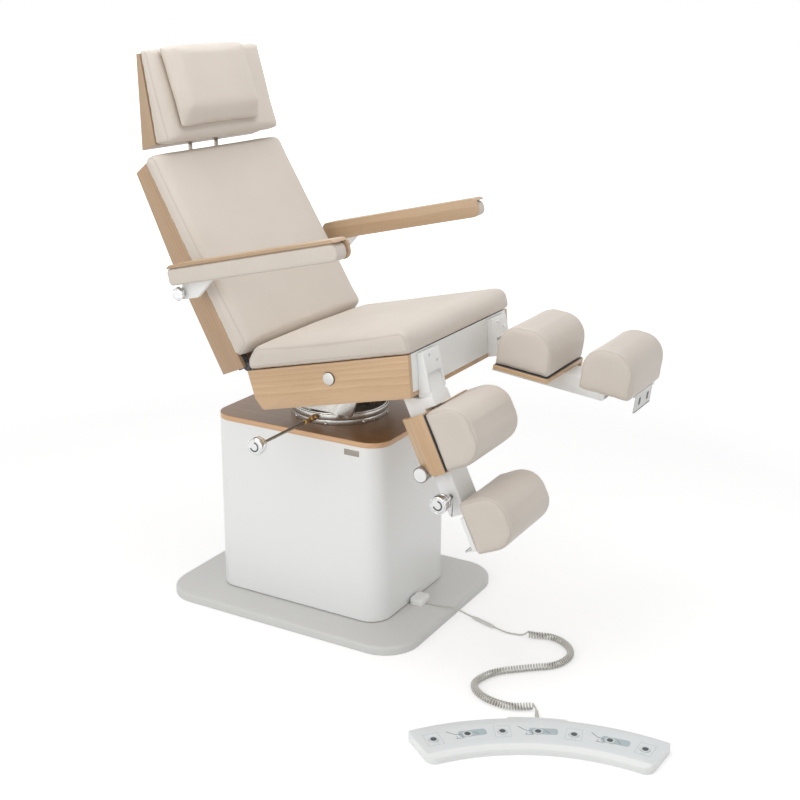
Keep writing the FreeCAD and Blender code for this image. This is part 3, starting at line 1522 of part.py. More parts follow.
def half_arc(start, tangent, end, flip=False):
    chord = end - start
    length = chord.Length
    way = chord * (1 / length)
    side_way = tangent - way * tangent.dot(way)
    angle = tangent.getAngle(way)
    top = (start + end) * 0.5
    if side_way.Length > 1e-9:
        top = top + side_way.normalize() * (length / 2 * math.tan(angle / 2))
    radii_found.append(length / 2 / max(math.sin(angle), 1e-9))
    ends = (end, top, start) if flip else (start, top, end)
    return Part.Arc(*ends).toShape()


radii_found = []
wire_radius = d.curl_wire.value / 2
curl_radius = d.curl_diameter.value / 2 - wire_radius
axis_height = d.curl_diameter.value / 2 + d.cord_lift.value
axis_line = smooth_line([V(x, y, axis_height) for x, y in curl_route])
axis_length = axis_line.length()
turns = counts["curl_count"]


def helix_at(turn):
    """The wire's centre and direction after so many turns; whole turns are at the bottom."""
    at = axis_line.parameterAtDistance(axis_length * turn / turns, axis_line.FirstParameter)
    centre = axis_line.value(at)
    ahead = axis_line.tangent(at)[0]
    across = Z_AXIS.cross(ahead)
    phase = 2 * math.pi * turn
    point = centre - (Z_AXIS * math.cos(phase) + across * math.sin(phase)) * curl_radius
    pitch = axis_length / turns
    whirl = (Z_AXIS * math.sin(phase) - across * math.cos(phase)) * (2 * math.pi * curl_radius)
    bend_way = axis_line.normal(at)
    ease = 1 - (point - centre).dot(bend_way) * axis_line.curvature(at)
    return point, (whirl + ahead * (pitch * ease)).normalize()


curl_edges = []
straight = d.curl_wire.value
begin = tail_points[-1]
begin_way = (tail_points[-1] - tail_points[-2]).normalize()
begin_way.z = 0
begin_way.normalize()
first_point = begin + begin_way * straight
curl_edges.append(Part.LineSegment(begin, first_point).toShape())
here = (first_point, begin_way)
steps = [i / 2 for i in range(1, turns * 2)]
for turn in steps:
    there = helix_at(turn)
    curl_edges += biarc(here[0], here[1], there[0], there[1])
    here = there
last_point = relief_top + control_way * straight
curl_edges += biarc(here[0], here[1], last_point, -control_way)
curl_edges.append(Part.LineSegment(last_point, relief_top).toShape())
curl_wire = Part.Wire(curl_edges)
print("curly cord: axis %.0f, wire %.0f, least bend radius %.2f"
      % (axis_length, curl_wire.Length, min(radii_found)))


def least_gap(wire, radius, spacing, apart):
    """The least gap of a tube to itself, on points along its centre line."""
    points = wire.discretize(Distance=spacing)
    grid = {}
    cell = radius * 4
    closest = cell
    skip = int(apart / spacing)
    for i, point in enumerate(points):
        key = (int(point.x // cell), int(point.y // cell), int(point.z // cell))
        for dx in (-1, 0, 1):
            for dy in (-1, 0, 1):
                for dz in (-1, 0, 1):
                    for j in grid.get((key[0] + dx, key[1] + dy, key[2] + dz), ()):
                        if i - j > skip:
                            closest = min(closest, (point - points[j]).Length)
        grid.setdefault(key, []).append(i)
    return closest - 2 * radius


gap_apart_share = 0.5
turn_length = 2 * math.pi * curl_radius
print("curly cord: least gap to itself %.2f" % least_gap(
    curl_wire, wire_radius, wire_radius / 3, turn_length * gap_apart_share))
free_shape("curly_cord", tube_along(curl_wire, wire_radius, "curly_cord"))


# Check every object, then write each piece

doc.recompute()
for thing in doc.Objects:
    for word in ("Invalid", "Error"):
        if word in thing.State:
            raise RuntimeError("%s is %s" % (thing.Label, word))
for thing in parts:
    if thing.Shape.isNull() or not thing.Shape.isValid():
        raise RuntimeError(thing.Label + " has no valid shape")
os.makedirs("parts", exist_ok=True)
for thing in parts:
    thing.Shape.exportStep(os.path.join("parts", thing.Label + ".step"))
print("pieces", len(parts))
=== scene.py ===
import json
import math

import bpy
from mathutils import Matrix, Vector


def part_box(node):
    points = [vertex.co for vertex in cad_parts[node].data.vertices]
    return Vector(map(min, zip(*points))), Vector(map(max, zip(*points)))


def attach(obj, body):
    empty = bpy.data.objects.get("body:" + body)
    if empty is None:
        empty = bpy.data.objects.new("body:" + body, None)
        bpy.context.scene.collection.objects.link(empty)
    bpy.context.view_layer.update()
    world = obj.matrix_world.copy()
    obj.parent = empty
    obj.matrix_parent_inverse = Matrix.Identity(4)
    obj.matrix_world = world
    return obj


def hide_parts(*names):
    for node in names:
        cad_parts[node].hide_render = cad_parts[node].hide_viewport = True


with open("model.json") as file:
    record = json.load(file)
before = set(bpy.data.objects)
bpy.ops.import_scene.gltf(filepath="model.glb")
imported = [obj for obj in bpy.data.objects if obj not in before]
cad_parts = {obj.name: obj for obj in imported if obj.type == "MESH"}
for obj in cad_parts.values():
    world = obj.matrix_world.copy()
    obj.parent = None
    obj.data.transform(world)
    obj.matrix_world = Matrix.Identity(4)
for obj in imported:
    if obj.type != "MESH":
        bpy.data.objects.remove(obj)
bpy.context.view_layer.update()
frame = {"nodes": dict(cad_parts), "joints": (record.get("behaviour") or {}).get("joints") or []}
bpy.ops.object.select_all(action="DESELECT")


# Camera. It stands to the front and the sitter's right of the chair, above the headrest's top,
# and looks down on the seat, so that the pedestal's long side and its front both show.
camera_place = (-2.9366, -1.8737, 1.6929)
camera_yaw = math.radians(29.3755)
camera_pitch = math.radians(17.7422)
camera_roll = math.radians(0.492)
focal_pixels = 1282.1
image_pixels = 800


def in_scene(name, data):
    """A new object in the scene for a camera, a mesh, a curve or a lamp."""
    piece = bpy.data.objects.new(name, data)
    bpy.context.scene.collection.objects.link(piece)
    return piece


ahead = Vector((math.cos(camera_yaw) * math.cos(camera_pitch),
                math.sin(camera_yaw) * math.cos(camera_pitch), -math.sin(camera_pitch)))
level = Vector((math.sin(camera_yaw), -math.cos(camera_yaw), 0))
above = level.cross(ahead)
across = level * math.cos(camera_roll) + above * math.sin(camera_roll)
upward = above * math.cos(camera_roll) - level * math.sin(camera_roll)
camera_data = bpy.data.cameras.new("camera")
camera_data.sensor_fit = "HORIZONTAL"
camera_data.lens = camera_data.sensor_width * focal_pixels / image_pixels
camera = in_scene("camera", camera_data)
camera.matrix_world = Matrix.Translation(camera_place) @ Matrix(
    (across, upward, -ahead)).transposed().to_4x4()
bpy.context.scene.camera = camera


# Base plate. A thick flat plate of painted metal with large round corners and a bevelled rim.
# It stands on the floor and carries the pedestal; its paint has a fine texture.
base_rim_ease = 0.0012
base_paint_tone = (223, 223, 221)
weld_distance = 0.00002
flat_degrees = 0.5
sharp_degrees = 32


def tone(red, green, blue):
    """A colour as seen on a screen, 0 to 255, as the linear colour that shaders want."""
    def linear(value):
        value = value / 255
        return value / 12.92 if value <= 0.04045 else ((value + 0.055) / 1.055) ** 2.4
    return (linear(red), linear(green), linear(blue), 1.0)


def select_only(piece):
    bpy.ops.object.select_all(action="DESELECT")
    piece.select_set(True)
    bpy.context.view_layer.objects.active = piece


def apply_all(piece):
    select_only(piece)
    for modifier in list(piece.modifiers):
        bpy.ops.object.modifier_apply(modifier=modifier.name)


def smooth(piece, degrees=35):
    select_only(piece)
    bpy.ops.object.shade_smooth_by_angle(angle=math.radians(degrees))


def finish_piece(piece, body, slot, material, *nodes):
    """Gives a finished piece its material and its body, and hides the CAD nodes it stands for;
    slot is not used.
    """
    piece.data.materials.clear()
    piece.data.materials.append(material)
    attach(piece, body)
    if nodes:
        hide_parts(*nodes)
    return piece


def merged_copy(node, name):
    """A new mesh piece from a CAD node, with its triangles merged into whole faces."""
    piece = in_scene(name, frame["nodes"][node].data.copy())
    select_only(piece)
    if piece.data.has_custom_normals:
        bpy.ops.mesh.customdata_custom_splitnormals_clear()
    bpy.ops.object.mode_set(mode="EDIT")
    bpy.ops.mesh.select_all(action="SELECT")
    bpy.ops.mesh.remove_doubles(threshold=weld_distance)
    bpy.ops.mesh.dissolve_limited(angle_limit=math.radians(flat_degrees))
    bpy.ops.object.mode_set(mode="OBJECT")
    return piece


def eased(node, body, slot, material, width, segments=2):
    """A CAD node's shape with its sharp edges rounded over."""
    piece = merged_copy(node, node + "_eased")
    bevel = piece.modifiers.new("ease", "BEVEL")
    bevel.width = width
    bevel.segments = segments
    bevel.limit_method = "ANGLE"
    bevel.angle_limit = math.radians(sharp_degrees)
    bevel.use_clamp_overlap = False
    apply_all(piece)
    smooth(piece)
    return finish_piece(piece, body, slot, material, node)


def new_group(name, inputs, outputs):
    """A shader node group with named sockets; inputs are (name, kind, value)."""
    tree = bpy.data.node_groups.new(name, "ShaderNodeTree")
    for label, kind, value in inputs:
        socket = tree.interface.new_socket(label, in_out="INPUT", socket_type=kind)
        if value is not None:
            socket.default_value = value
    for label, kind in outputs:
        tree.interface.new_socket(label, in_out="OUTPUT", socket_type=kind)
    return tree, tree.nodes.new("NodeGroupInput"), tree.nodes.new("NodeGroupOutput")


def math_node(tree, operation, first, second=None, clamp=False):
    node = tree.nodes.new("ShaderNodeMath")
    node.operation = operation
    node.use_clamp = clamp
    for socket, value in zip(node.inputs, (first, second)):
        if value is None:
            continue
        if isinstance(value, (int, float)):
            socket.default_value = value
        else:
            tree.links.new(value, socket)
    return node.outputs[0]


def ramp(tree, value, start, slope, clamp=True):
    """How far the value lies past start, times slope; clamp holds it between 0 and 1."""
    return math_node(tree, "MULTIPLY", math_node(tree, "SUBTRACT", value, start), slope, clamp)


def times_plus(tree, value, factor, plus, clamp=False):
    """The value times factor, plus a fixed amount; clamp holds it between 0 and 1."""
    return math_node(tree, "ADD", math_node(tree, "MULTIPLY", value, factor), plus, clamp)


def mix_colours(tree, factor, first, second, blend="MIX"):
    node = tree.nodes.new("ShaderNodeMix")
    node.data_type = "RGBA"
    node.blend_type = blend
    for socket, value in ((node.inputs[0], factor), (node.inputs[6], first),
                          (node.inputs[7], second)):
        if isinstance(value, (int, float, tuple)):
            socket.default_value = value
        else:
            tree.links.new(value, socket)
    return node.outputs[2]


def noise(tree, vector, scale, detail=2.0, rough=0.5):
    node = tree.nodes.new("ShaderNodeTexNoise")
    node.inputs["Detail"].default_value = detail
    node.inputs["Roughness"].default_value = rough
    if isinstance(scale, (int, float)):
        node.inputs["Scale"].default_value = scale
    else:
        tree.links.new(scale, node.inputs["Scale"])
    tree.links.new(vector, node.inputs["Vector"])
    return node.outputs["Fac"]


VECTOR, FLOAT, COLOUR = "NodeSocketVector", "NodeSocketFloat", "NodeSocketColor"

# Handling marks: a slow drift of tone and roughness over a surface, as paint, plastic and
# metal show after some years of wiping down.
handling, group_in, group_out = new_group(
    "handling_marks",
    (("Vector", VECTOR, None), ("Colour", COLOUR, (0.8, 0.8, 0.8, 1)), ("Roughness", FLOAT, 0.4),
     ("Drift", FLOAT, 0.04), ("Texture size", FLOAT, 900.0)),
    (("Colour", COLOUR), ("Roughness", FLOAT), ("Height", FLOAT)))
surface = group_in.outputs["Vector"]
slow = noise(handling, surface, scale=3.5, detail=3.0)
quick_marks = noise(handling, surface, scale=38.0, detail=4.0, rough=0.6)
texture = noise(handling, surface, scale=group_in.outputs["Texture size"], detail=1.0)
drift = ramp(handling, slow, start=0.5, slope=group_in.outputs["Drift"], clamp=False)
handled_tint = (0.86, 0.85, 0.83, 1)
darker = mix_colours(handling, 1.0, group_in.outputs["Colour"], handled_tint, "MULTIPLY")
marked = mix_colours(handling, times_plus(handling, drift, factor=6.0, plus=0.25, clamp=True),
                     group_in.outputs["Colour"], darker)
rougher = math_node(handling, "ADD", group_in.outputs["Roughness"],
                    ramp(handling, quick_marks, start=0.5, slope=0.14, clamp=False))
for label, value in (("Colour", marked), ("Roughness", rougher), ("Height", texture)):
    handling.links.new(value, group_out.inputs[label])


def new_material(name, specular=0.5, **plain):
    """A material with its shader; plain are values set on the shader's own sockets."""
    material = bpy.data.materials.new(name)
    material.use_nodes = True
    tree = material.node_tree
    shader = tree.nodes["Principled BSDF"]
    shader.inputs["Specular IOR Level"].default_value = specular
    for label, value in plain.items():
        shader.inputs[label.replace("_", " ")].default_value = value
    place = tree.nodes.new("ShaderNodeTexCoord").outputs["Object"]
    return material, tree, shader, place


def placed(tree, group, vector, **values):
    """A shader group in a material, with its vector and with values on its other sockets."""
    node = tree.nodes.new("ShaderNodeGroup")
    node.node_tree = group
    tree.links.new(vector, node.inputs["Vector"])
    for label, value in values.items():
        node.inputs[label.replace("_", " ")].default_value = value
    return node


def bump(tree, shader, height, strength, distance):
    node = tree.nodes.new("ShaderNodeBump")
    node.inputs["Strength"].default_value = strength
    node.inputs["Distance"].default_value = distance
    tree.links.new(height, node.inputs["Height"])
    tree.links.new(node.outputs["Normal"], shader.inputs["Normal"])


def marked_material(name, colour, rough, drift=0.03, texture=1100, depth=0.0001, **plain):
    """A hard finish with handling marks: paint, bare metal, chrome or moulded plastic."""
    material, tree, shader, place = new_material(name, **plain)
    marks = placed(tree, handling, place, Colour=tone(*colour), Roughness=rough, Drift=drift,
                   Texture_size=texture)
    tree.links.new(marks.outputs["Colour"], shader.inputs["Base Color"])
    tree.links.new(marks.outputs["Roughness"], shader.inputs["Roughness"])
    bump(tree, shader, marks.outputs["Height"], strength=0.35, distance=depth)
    return material


base_paint = marked_material("base_paint", base_paint_tone, rough=0.5, drift=0.05, texture=1400,
                             depth=0.0002)
eased("base_plate", "root", "base_paint", base_paint, base_rim_ease)


# Pedestal shells. Two sleeves of bent sheet steel, powder coated white: the upper one rises
# with the chair and hides the lower one and the square steel lifting columns inside.
white_paint = marked_material("white_paint", (250, 251, 250), rough=0.36, texture=700,
                              depth=0.00012, Coat_Weight=0.15, Coat_Roughness=0.25)
bare_steel = marked_material("bare_steel", (186, 186, 188), rough=0.32, drift=0.06,
                             texture=1600, Metallic=1.0)
shell_edge_ease = 0.0006
for shell_node, shell_body in (("lower_shell", "root"), ("upper_shell", "lift")):
    eased(shell_node, shell_body, "white_paint", white_paint, shell_edge_ease)
for column_node, column_body in (("column_outer", "root"), ("column_inner", "lift")):
    eased(column_node, column_body, "steel", bare_steel, shell_edge_ease)


# Pedestal top. A veneered board that caps the rising shell, in the same clear-lacquered oak as
# the seat sides, with the lighter solid edge band showing all round. Its top is painted darker
# and browner, as the seat's shade on it, and the band is painted a touch lighter.
oak_light = (219, 185, 146)
oak_middle = (202, 165, 124)
oak_dark = (170, 132, 95)

oak_figure, group_in, group_out = new_group(
    "oak_figure",
    (("Vector", VECTOR, None), ("Light", COLOUR, tone(*oak_light)),
     ("Middle", COLOUR, tone(*oak_middle)), ("Dark", COLOUR, tone(*oak_dark))),
    (("Colour", COLOUR), ("Roughness", FLOAT), ("Height", FLOAT)))
grain_place = group_in.outputs["Vector"]


def stretched(across, along):
    """The place on the oak, scaled across and along the grain, which runs along Y."""
    node = oak_figure.nodes.new("ShaderNodeMapping")
    node.inputs["Scale"].default_value = (across, along, across)
    oak_figure.links.new(grain_place, node.inputs["Vector"])
    return node.outputs["Vector"]


def grain_mask(across, along, start, slope, detail=3.0, rough=0.5):
    """One scale of the oak's figure: noise drawn out along the grain and cut to a mask."""
    return ramp(oak_figure, noise(oak_figure, stretched(across, along), 1.0, detail, rough),
                start, slope)


rings = oak_figure.nodes.new("ShaderNodeTexWave")
rings.wave_type = "RINGS"
rings.rings_direction = "Y"
rings.wave_profile = "SAW"
for label, value in (("Scale", 30.0), ("Distortion", 5.0), ("Detail", 3.0),
                     ("Detail Scale", 0.35), ("Detail Roughness", 0.55)):
    rings.inputs[label].default_value = value
oak_figure.links.new(stretched(across=1, along=0.12), rings.inputs["Vector"])
broad = grain_mask(across=14, along=1.6, start=0.42, slope=1.9)
streaks = grain_mask(across=260, along=7, start=0.5, slope=2.2, rough=0.6)
pores = grain_mask(across=1500, along=45, start=0.6, slope=6.0, detail=2.0)
figure = group_in.outputs["Light"]
for mask, share, colour in ((rings.outputs["Fac"], 0.75, "Middle"), (broad, 0.55, "Dark"),
                            (streaks, 0.4, "Dark"), (pores, 0.35, "Dark")):
    figure = mix_colours(oak_figure, math_node(oak_figure, "MULTIPLY", mask, share), figure,
                         group_in.outputs[colour])
streak_depth_share = 0.3
hollows = math_node(oak_figure, "ADD", pores, math_node(
    oak_figure, "MULTIPLY", streaks, streak_depth_share))
for label, value in (("Colour", figure),
                     ("Roughness", times_plus(oak_figure, pores, factor=0.2, plus=0.4)),
                     ("Height", math_node(oak_figure, "SUBTRACT", 1.0, hollows))):
    oak_figure.links.new(value, group_out.inputs[label])


def oak(name, turn, origin, painted_shading=(1, 1, 1)):
    """Lacquered oak whose grain runs along the piece: turn is degrees about X to level it."""
    material, tree, shader, place = new_material(name, Coat_Weight=0.25, Coat_Roughness=0.3)
    mapping = tree.nodes.new("ShaderNodeMapping")
    mapping.inputs["Location"].default_value = origin
    mapping.inputs["Rotation"].default_value = (math.radians(turn), 0, 0)
    tree.links.new(place, mapping.inputs["Vector"])
    # The oak colours are scaled by the last argument: light or shade painted onto this one piece.
    light, middle, dark = (tone(*(c * s for c, s in zip(colour, painted_shading)))
                           for colour in (oak_light, oak_middle, oak_dark))
    wood = placed(tree, oak_figure, mapping.outputs["Vector"], Light=light, Middle=middle,
                  Dark=dark)
    tree.links.new(wood.outputs["Colour"], shader.inputs["Base Color"])
    tree.links.new(wood.outputs["Roughness"], shader.inputs["Roughness"])
    bump(tree, shader, wood.outputs["Height"], strength=0.25, distance=0.00025)
    return material


def second_finish(piece, material, chosen):
    """Gives a second material to the faces that chosen picks."""
    piece.data.materials.append(material)
    for face in piece.data.polygons:
        if chosen(face):
            face.material_index = 1


top_ease = 0.0008
band_normal = 0.75
top_oak = oak("oak_pedestal_top", turn=0, origin=(0.11, 0.0, -0.46), painted_shading=(0.73, 0.67, 0.60))
band_oak = oak("oak_edge_band", turn=0, origin=(0.02, 0.0, -0.3), painted_shading=(1.04, 1.0, 0.98))
pedestal_top = eased("pedestal_top", "lift", "oak", top_oak, top_ease)
second_finish(pedestal_top, band_oak, lambda face: abs(face.normal.z) < band_normal)


# Plate on the pedestal's side. A small bare satin plate, glued on near the top board.
plate_middle = (-0.2026, -0.188, 0.517)
plate_size = (0.0008, 0.047, 0.0165)
plate_ease = 0.0003
satin_plate = marked_material("satin_plate", (160, 152, 143), rough=0.42, drift=0.05,
                              texture=1500, Metallic=0.6)


def block(name, middle, size, ease, segments=2, place=None):
    """A flat-sided piece with eased edges, at its place in the object's frame."""
    bpy.ops.object.select_all(action="DESELECT")
    bpy.ops.mesh.primitive_cube_add(size=1, location=(0, 0, 0))
    piece = bpy.context.object
    piece.name = name
    piece.data.transform(Matrix.Translation(middle) @ Matrix.Diagonal((*size, 1)))
    bevel = piece.modifiers.new("ease", "BEVEL")
    bevel.width = ease
    bevel.segments = segments
    apply_all(piece)
    if place is not None:
        piece.data.transform(place)
    smooth(piece)
    return piece


finish_piece(block("bare_plate", plate_middle, plate_size, plate_ease), "lift", "steel",
             satin_plate)


# Turntable. A bright turned ring screwed to the top board, and the plate that turns on it,
# with a polished rim. Small cap screws stand round its side.
turned_steel = marked_material("turned_steel", (206, 204, 200), rough=0.26, drift=0.02,
                               texture=2200, Metallic=0.9)
chrome = marked_material("chrome", (226, 227, 228), rough=0.07, drift=0.02, texture=900,
                         depth=0.00003, Metallic=1.0)
ring_screws = 8
ring_screw_radius = 0.0045
ring_screw_height = 0.0035
first_screw_share = 0.35
screw_shares = ((0, 0.35), (0.45, 0.4), (0.45, 0.95), (0.8, 1), (1, 0.7), (1, -0.3), (0, -0.3))
turntable_low, turntable_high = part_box("turntable_base")
turntable_middle = (turntable_low + turntable_high) / 2
turntable_radius = (turntable_high.x - turntable_low.x) / 2
eased("turntable_base", "lift", "steel", turned_steel, width=0.001)
eased("seat_yoke", "turntable", "steel", turned_steel, width=0.0012)


def turned(name, profile, place, steps=40):
    """A round piece spun from its (radius, height) profile about the place's Z."""
    mesh = bpy.data.meshes.new(name)
    points = [(radius, 0, height) for radius, height in profile]
    mesh.from_pydata(points, [(i, i + 1) for i in range(len(points) - 1)], [])
    piece = in_scene(name, mesh)
    select_only(piece)
    bpy.ops.object.mode_set(mode="EDIT")
    bpy.ops.mesh.select_all(action="SELECT")
    bpy.ops.mesh.spin(steps=steps, angle=math.tau, center=(0, 0, 0), axis=(0, 0, 1))
    bpy.ops.mesh.select_all(action="SELECT")
    bpy.ops.mesh.remove_doubles(threshold=weld_distance)
    bpy.ops.mesh.normals_make_consistent(inside=False)
    bpy.ops.object.mode_set(mode="OBJECT")
    piece.data.transform(place)
    smooth(piece, degrees=30)
    return piece


def facing(place, direction):
    """A matrix that stands a turned piece at place with its top towards direction."""
    turn = Vector(direction).to_track_quat("Z", "Y").to_matrix().to_4x4()
    return Matrix.Translation(place) @ turn


def sized(shares, radius, length):
    """The half section whose points are these shares of a radius and a length."""
    return [(radius * across, length * along) for across, along in shares]


def joined(name, pieces):
    """One piece from several small ones of the same material."""
    bpy.ops.object.select_all(action="DESELECT")
    for piece in pieces:
        piece.select_set(True)
    bpy.context.view_layer.objects.active = pieces[0]
    bpy.ops.object.join()
    pieces[0].name = name
    return pieces[0]


screws = []
for i in range(ring_screws):
    angle = math.tau * (i + first_screw_share) / ring_screws
    outward = Vector((math.cos(angle), math.sin(angle), 0))
    spot = turntable_middle + outward * turntable_radius
    screws.append(turned("ring_screw", sized(screw_shares, ring_screw_radius, ring_screw_height),
                         facing(spot, outward), steps=20))
finish_piece(joined("turntable_screws", screws), "lift", "chrome", chrome)


# Turntable lock. A steel rod with a small yellow-zinc link at the turntable and a round
# chrome knob at its end; turning the knob clamps the turntable.
zinc = marked_material("yellow_zinc", (196, 158, 104), rough=0.33, drift=0.1, texture=1200,
                       Metallic=0.9)
rod_steel = marked_material("rod_steel", (150, 146, 136), rough=0.3, drift=0.08, texture=1500,
                            Metallic=1.0)
dark_mark = marked_material("dark_mark", (88, 90, 94), rough=0.45, drift=0.04, texture=900)
lock_low, lock_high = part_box("lock_rod")
lock_y = (lock_low.y + lock_high.y) / 2
lock_z = (lock_low.z + lock_high.z) / 2
lock_rod_radius = 0.0042
rod_shares = ((0, 0), (1, 0), (1, 1), (0, 1))
link_radius = 0.0088
link_gap = 0.001
link_steps = ((0.0, 0.55), (0.004, 1.0), (0.012, 1.0), (0.014, 0.7), (0.02, 0.7), (0.022, 0.95),
              (0.029, 0.95), (0.031, 0.6), (0.048, 0.6), (0.05, 0.85), (0.057, 0.85),
              (0.059, 0.5), (0.059, 0))
knob_shares = ((0, 0), (0.496, 0), (0.62, 0.03), (0.62, 0.30), (0.9, 0.37), (1, 0.42), (1, 0.55),
               (0.965, 0.57), (0.965, 0.60), (1, 0.62), (1, 0.90), (0.95, 0.965),
               (0.86, 0.985), (0.82, 0.965), (0.80, 0.94), (0, 0.94))
knob_cap_shares = ((0, 0.925), (0.77, 0.925), (0.79, 0.955), (0.74, 0.975), (0, 0.98))
mark_radius_shares = (0.40, 0.56)
mark_height_shares = (0.975, 0.992)
mark_start = math.radians(200)
mark_sweep = math.radians(250)
mark_steps = 20


def knob_fit(node, y, z, outward, length=None):
    """A knob's place with Z along the knob, its radius and its length, from its CAD node."""
    low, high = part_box(node)
    length = length or high.x - low.x
    start = high.x - length if outward > 0 else low.x + length
    return facing((start, y, z), (outward, 0, 0)), (high.z - low.z) / 2, length


def round_knob(name, body, node, y, z, outward, length=None):
    """A clamping knob along X: ribbed grip, bright rim, white cap and a curved turn mark."""
    place, radius, length = knob_fit(node, y, z, outward, length)
    grip = turned(name + "_grip", sized(knob_shares, radius, length), place, steps=56)
    finish_piece(grip, body, "chrome", chrome, node)
    cap = turned(name + "_cap", sized(knob_cap_shares, radius, length), place, steps=48)
    finish_piece(cap, body, "white_paint", white_paint)
    points, faces = [], []
    for i in range(mark_steps + 1):
        angle = mark_start + mark_sweep * i / mark_steps
        for reach_share in mark_radius_shares:
            reach = reach_share * radius
            points += [(reach * math.cos(angle), reach * math.sin(angle), share * length)
                       for share in mark_height_shares]
    for i in range(mark_steps):
        a = 4 * i
        faces += [(a, a + 1, a + 5, a + 4), (a + 2, a + 6, a + 7, a + 3),
                  (a + 1, a + 3, a + 7, a + 5), (a, a + 4, a + 6, a + 2)]
    end = 4 * mark_steps
    faces += [(0, 2, 3, 1), (end, end + 1, end + 3, end + 2)]
    mesh = bpy.data.meshes.new(name + "_mark")
    mesh.from_pydata(points, [], faces)
    mesh.transform(place)
    finish_piece(in_scene(name + "_mark", mesh), body, "knob_plastic", dark_mark)


lock_rod = turned("lock_rod_turned", sized(rod_shares, lock_rod_radius, lock_high.x - lock_low.x),
                  facing((lock_high.x, lock_y, lock_z), (-1, 0, 0)), steps=28)
finish_piece(lock_rod, "lock_lever", "steel", rod_steel, "lock_rod")
link_profile = [(0, 0)] + [(link_radius * share, height) for height, share in link_steps]
lock_link = turned("lock_link", link_profile,
                   facing((-turntable_radius - link_gap, lock_y, lock_z), (-1, 0, 0)), steps=6)
finish_piece(lock_link, "lock_lever", "steel", zinc)
round_knob("lock_knob", "lock_lever", "lock_knob", lock_y, lock_z, outward=-1)


# Places of the tilting parts. Each frame sits on its joint and leans as the part does at rest.
seat_lean = -13.2
back_lean = -29.8
head_turn = 20.4
leg_leans = {"right": 64.7, "left": 6.6}
head_offset = (0, -0.028, 0.636)
joint_places = {j["name"]: Vector(j["pos_m"]) for j in frame["joints"] if "pos_m" in j}


def leaning(joint, degrees):
    """A joint's place in the chair's middle plane, leaning about X."""
    return (Matrix.Translation((0, joint.y, joint.z))
            @ Matrix.Rotation(math.radians(degrees), 4, "X"))


seat_place = leaning(joint_places["seat_tilt"], seat_lean)
back_place = leaning(joint_places["back_recline"], back_lean)
head_place = back_place @ Matrix.Translation(head_offset) @ Matrix.Rotation(
    math.radians(head_turn), 4, "X")
arm_place = leaning(joint_places["arm_flip_right"], seat_lean)
leg_places = {side: leaning(joint_places["leg_swing_" + side], lean)
              for side, lean in leg_leans.items()}


# Seat box. Oak sides and an oak bottom board, a white steel front panel between them, and the
# dark steel frame inside that carries the axle, the back's hinge and the leg brackets.
board_ease = 0.0012
# The bottom board's oak is painted a little darker: shade under the seat.
bottom_oak = oak("oak_seat_bottom", turn=-seat_lean, origin=(0.05, 0.0, -0.5),
                 painted_shading=(0.95, 0.95, 0.95))
dark_steel = marked_material("dark_steel", (70, 72, 76), rough=0.45, drift=0.05, texture=900,
                             depth=0.00015)
for side, shift in (("right", 0.21), ("left", -0.35)):
    side_oak = oak("oak_seat_" + side, turn=-seat_lean, origin=(shift, 0.1, -0.62))
    eased("seat_side_" + side, "seat", "oak", side_oak, board_ease, segments=3)
eased("seat_bottom", "seat", "oak", bottom_oak, board_ease)
eased("front_panel", "seat", "white_paint", white_paint, width=0.0005)
eased("seat_frame", "seat", "dark_steel", dark_steel, width=0.0008)


# Tilt axle. A bright steel shaft through yoke and seat; each end has a round bright cap with an
# eased edge, which stands on the oak side in a thin dark washer.
sides = (("right", -1), ("left", 1))
washer_hole = 0.0167
washer_radius = 0.0178
washer_sink = 0.0006
washer_rise = 0.0009
washer_profile = ((washer_hole, -washer_sink), (washer_radius, -washer_sink),
                  (washer_radius, washer_rise), (washer_hole, washer_rise),
                  (washer_hole, -washer_sink))
eased("tilt_axle", "seat", "steel", turned_steel, width=0.0016, segments=3)
seat_side_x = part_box("seat_side_right")[0].x
for side, sign in sides:
    spot = (-sign * seat_side_x, joint_places["seat_tilt"].y, joint_places["seat_tilt"].z)
    finish_piece(turned("axle_washer_" + side, washer_profile, facing(spot, (sign, 0, 0))),
                 "seat", "knob_plastic", dark_mark)


# Leg brackets. White folded-steel housings bolted through the front panel, each with its hinge
# pin and cap screws on its face.
bracket_face = -0.262
leg_spread = 0.1995
bracket_screw_places = ((-0.016, 0.024), (0.016, 0.004))
bracket_screw = sized(screw_shares, radius=0.0042, length=0.003)
eased("leg_brackets", "seat", "white_paint", white_paint, width=0.001, segments=3)
for side, sign in sides:
    heads = []
    for x, height in bracket_screw_places:
        spot = seat_place @ Vector((sign * leg_spread + x, bracket_face, height))
        forward = seat_place.to_3x3() @ Vector((0, -1, 0))
        heads.append(turned("bracket_screw", bracket_screw, facing(spot, forward), steps=20))
    finish_piece(joined("bracket_screws_" + side, heads), "seat", "chrome", chrome)


# Upholstery. Firm foam on board, covered in beige coated fabric with a fine grain. The cover is
# boxed: each end panel is sewn in with a seam that sinks a little into the foam.
vinyl_tone = (219, 209, 198)
vinyl_shade = (196, 184, 171)
seam_tone = (138, 126, 112)
seam_share = 0.24

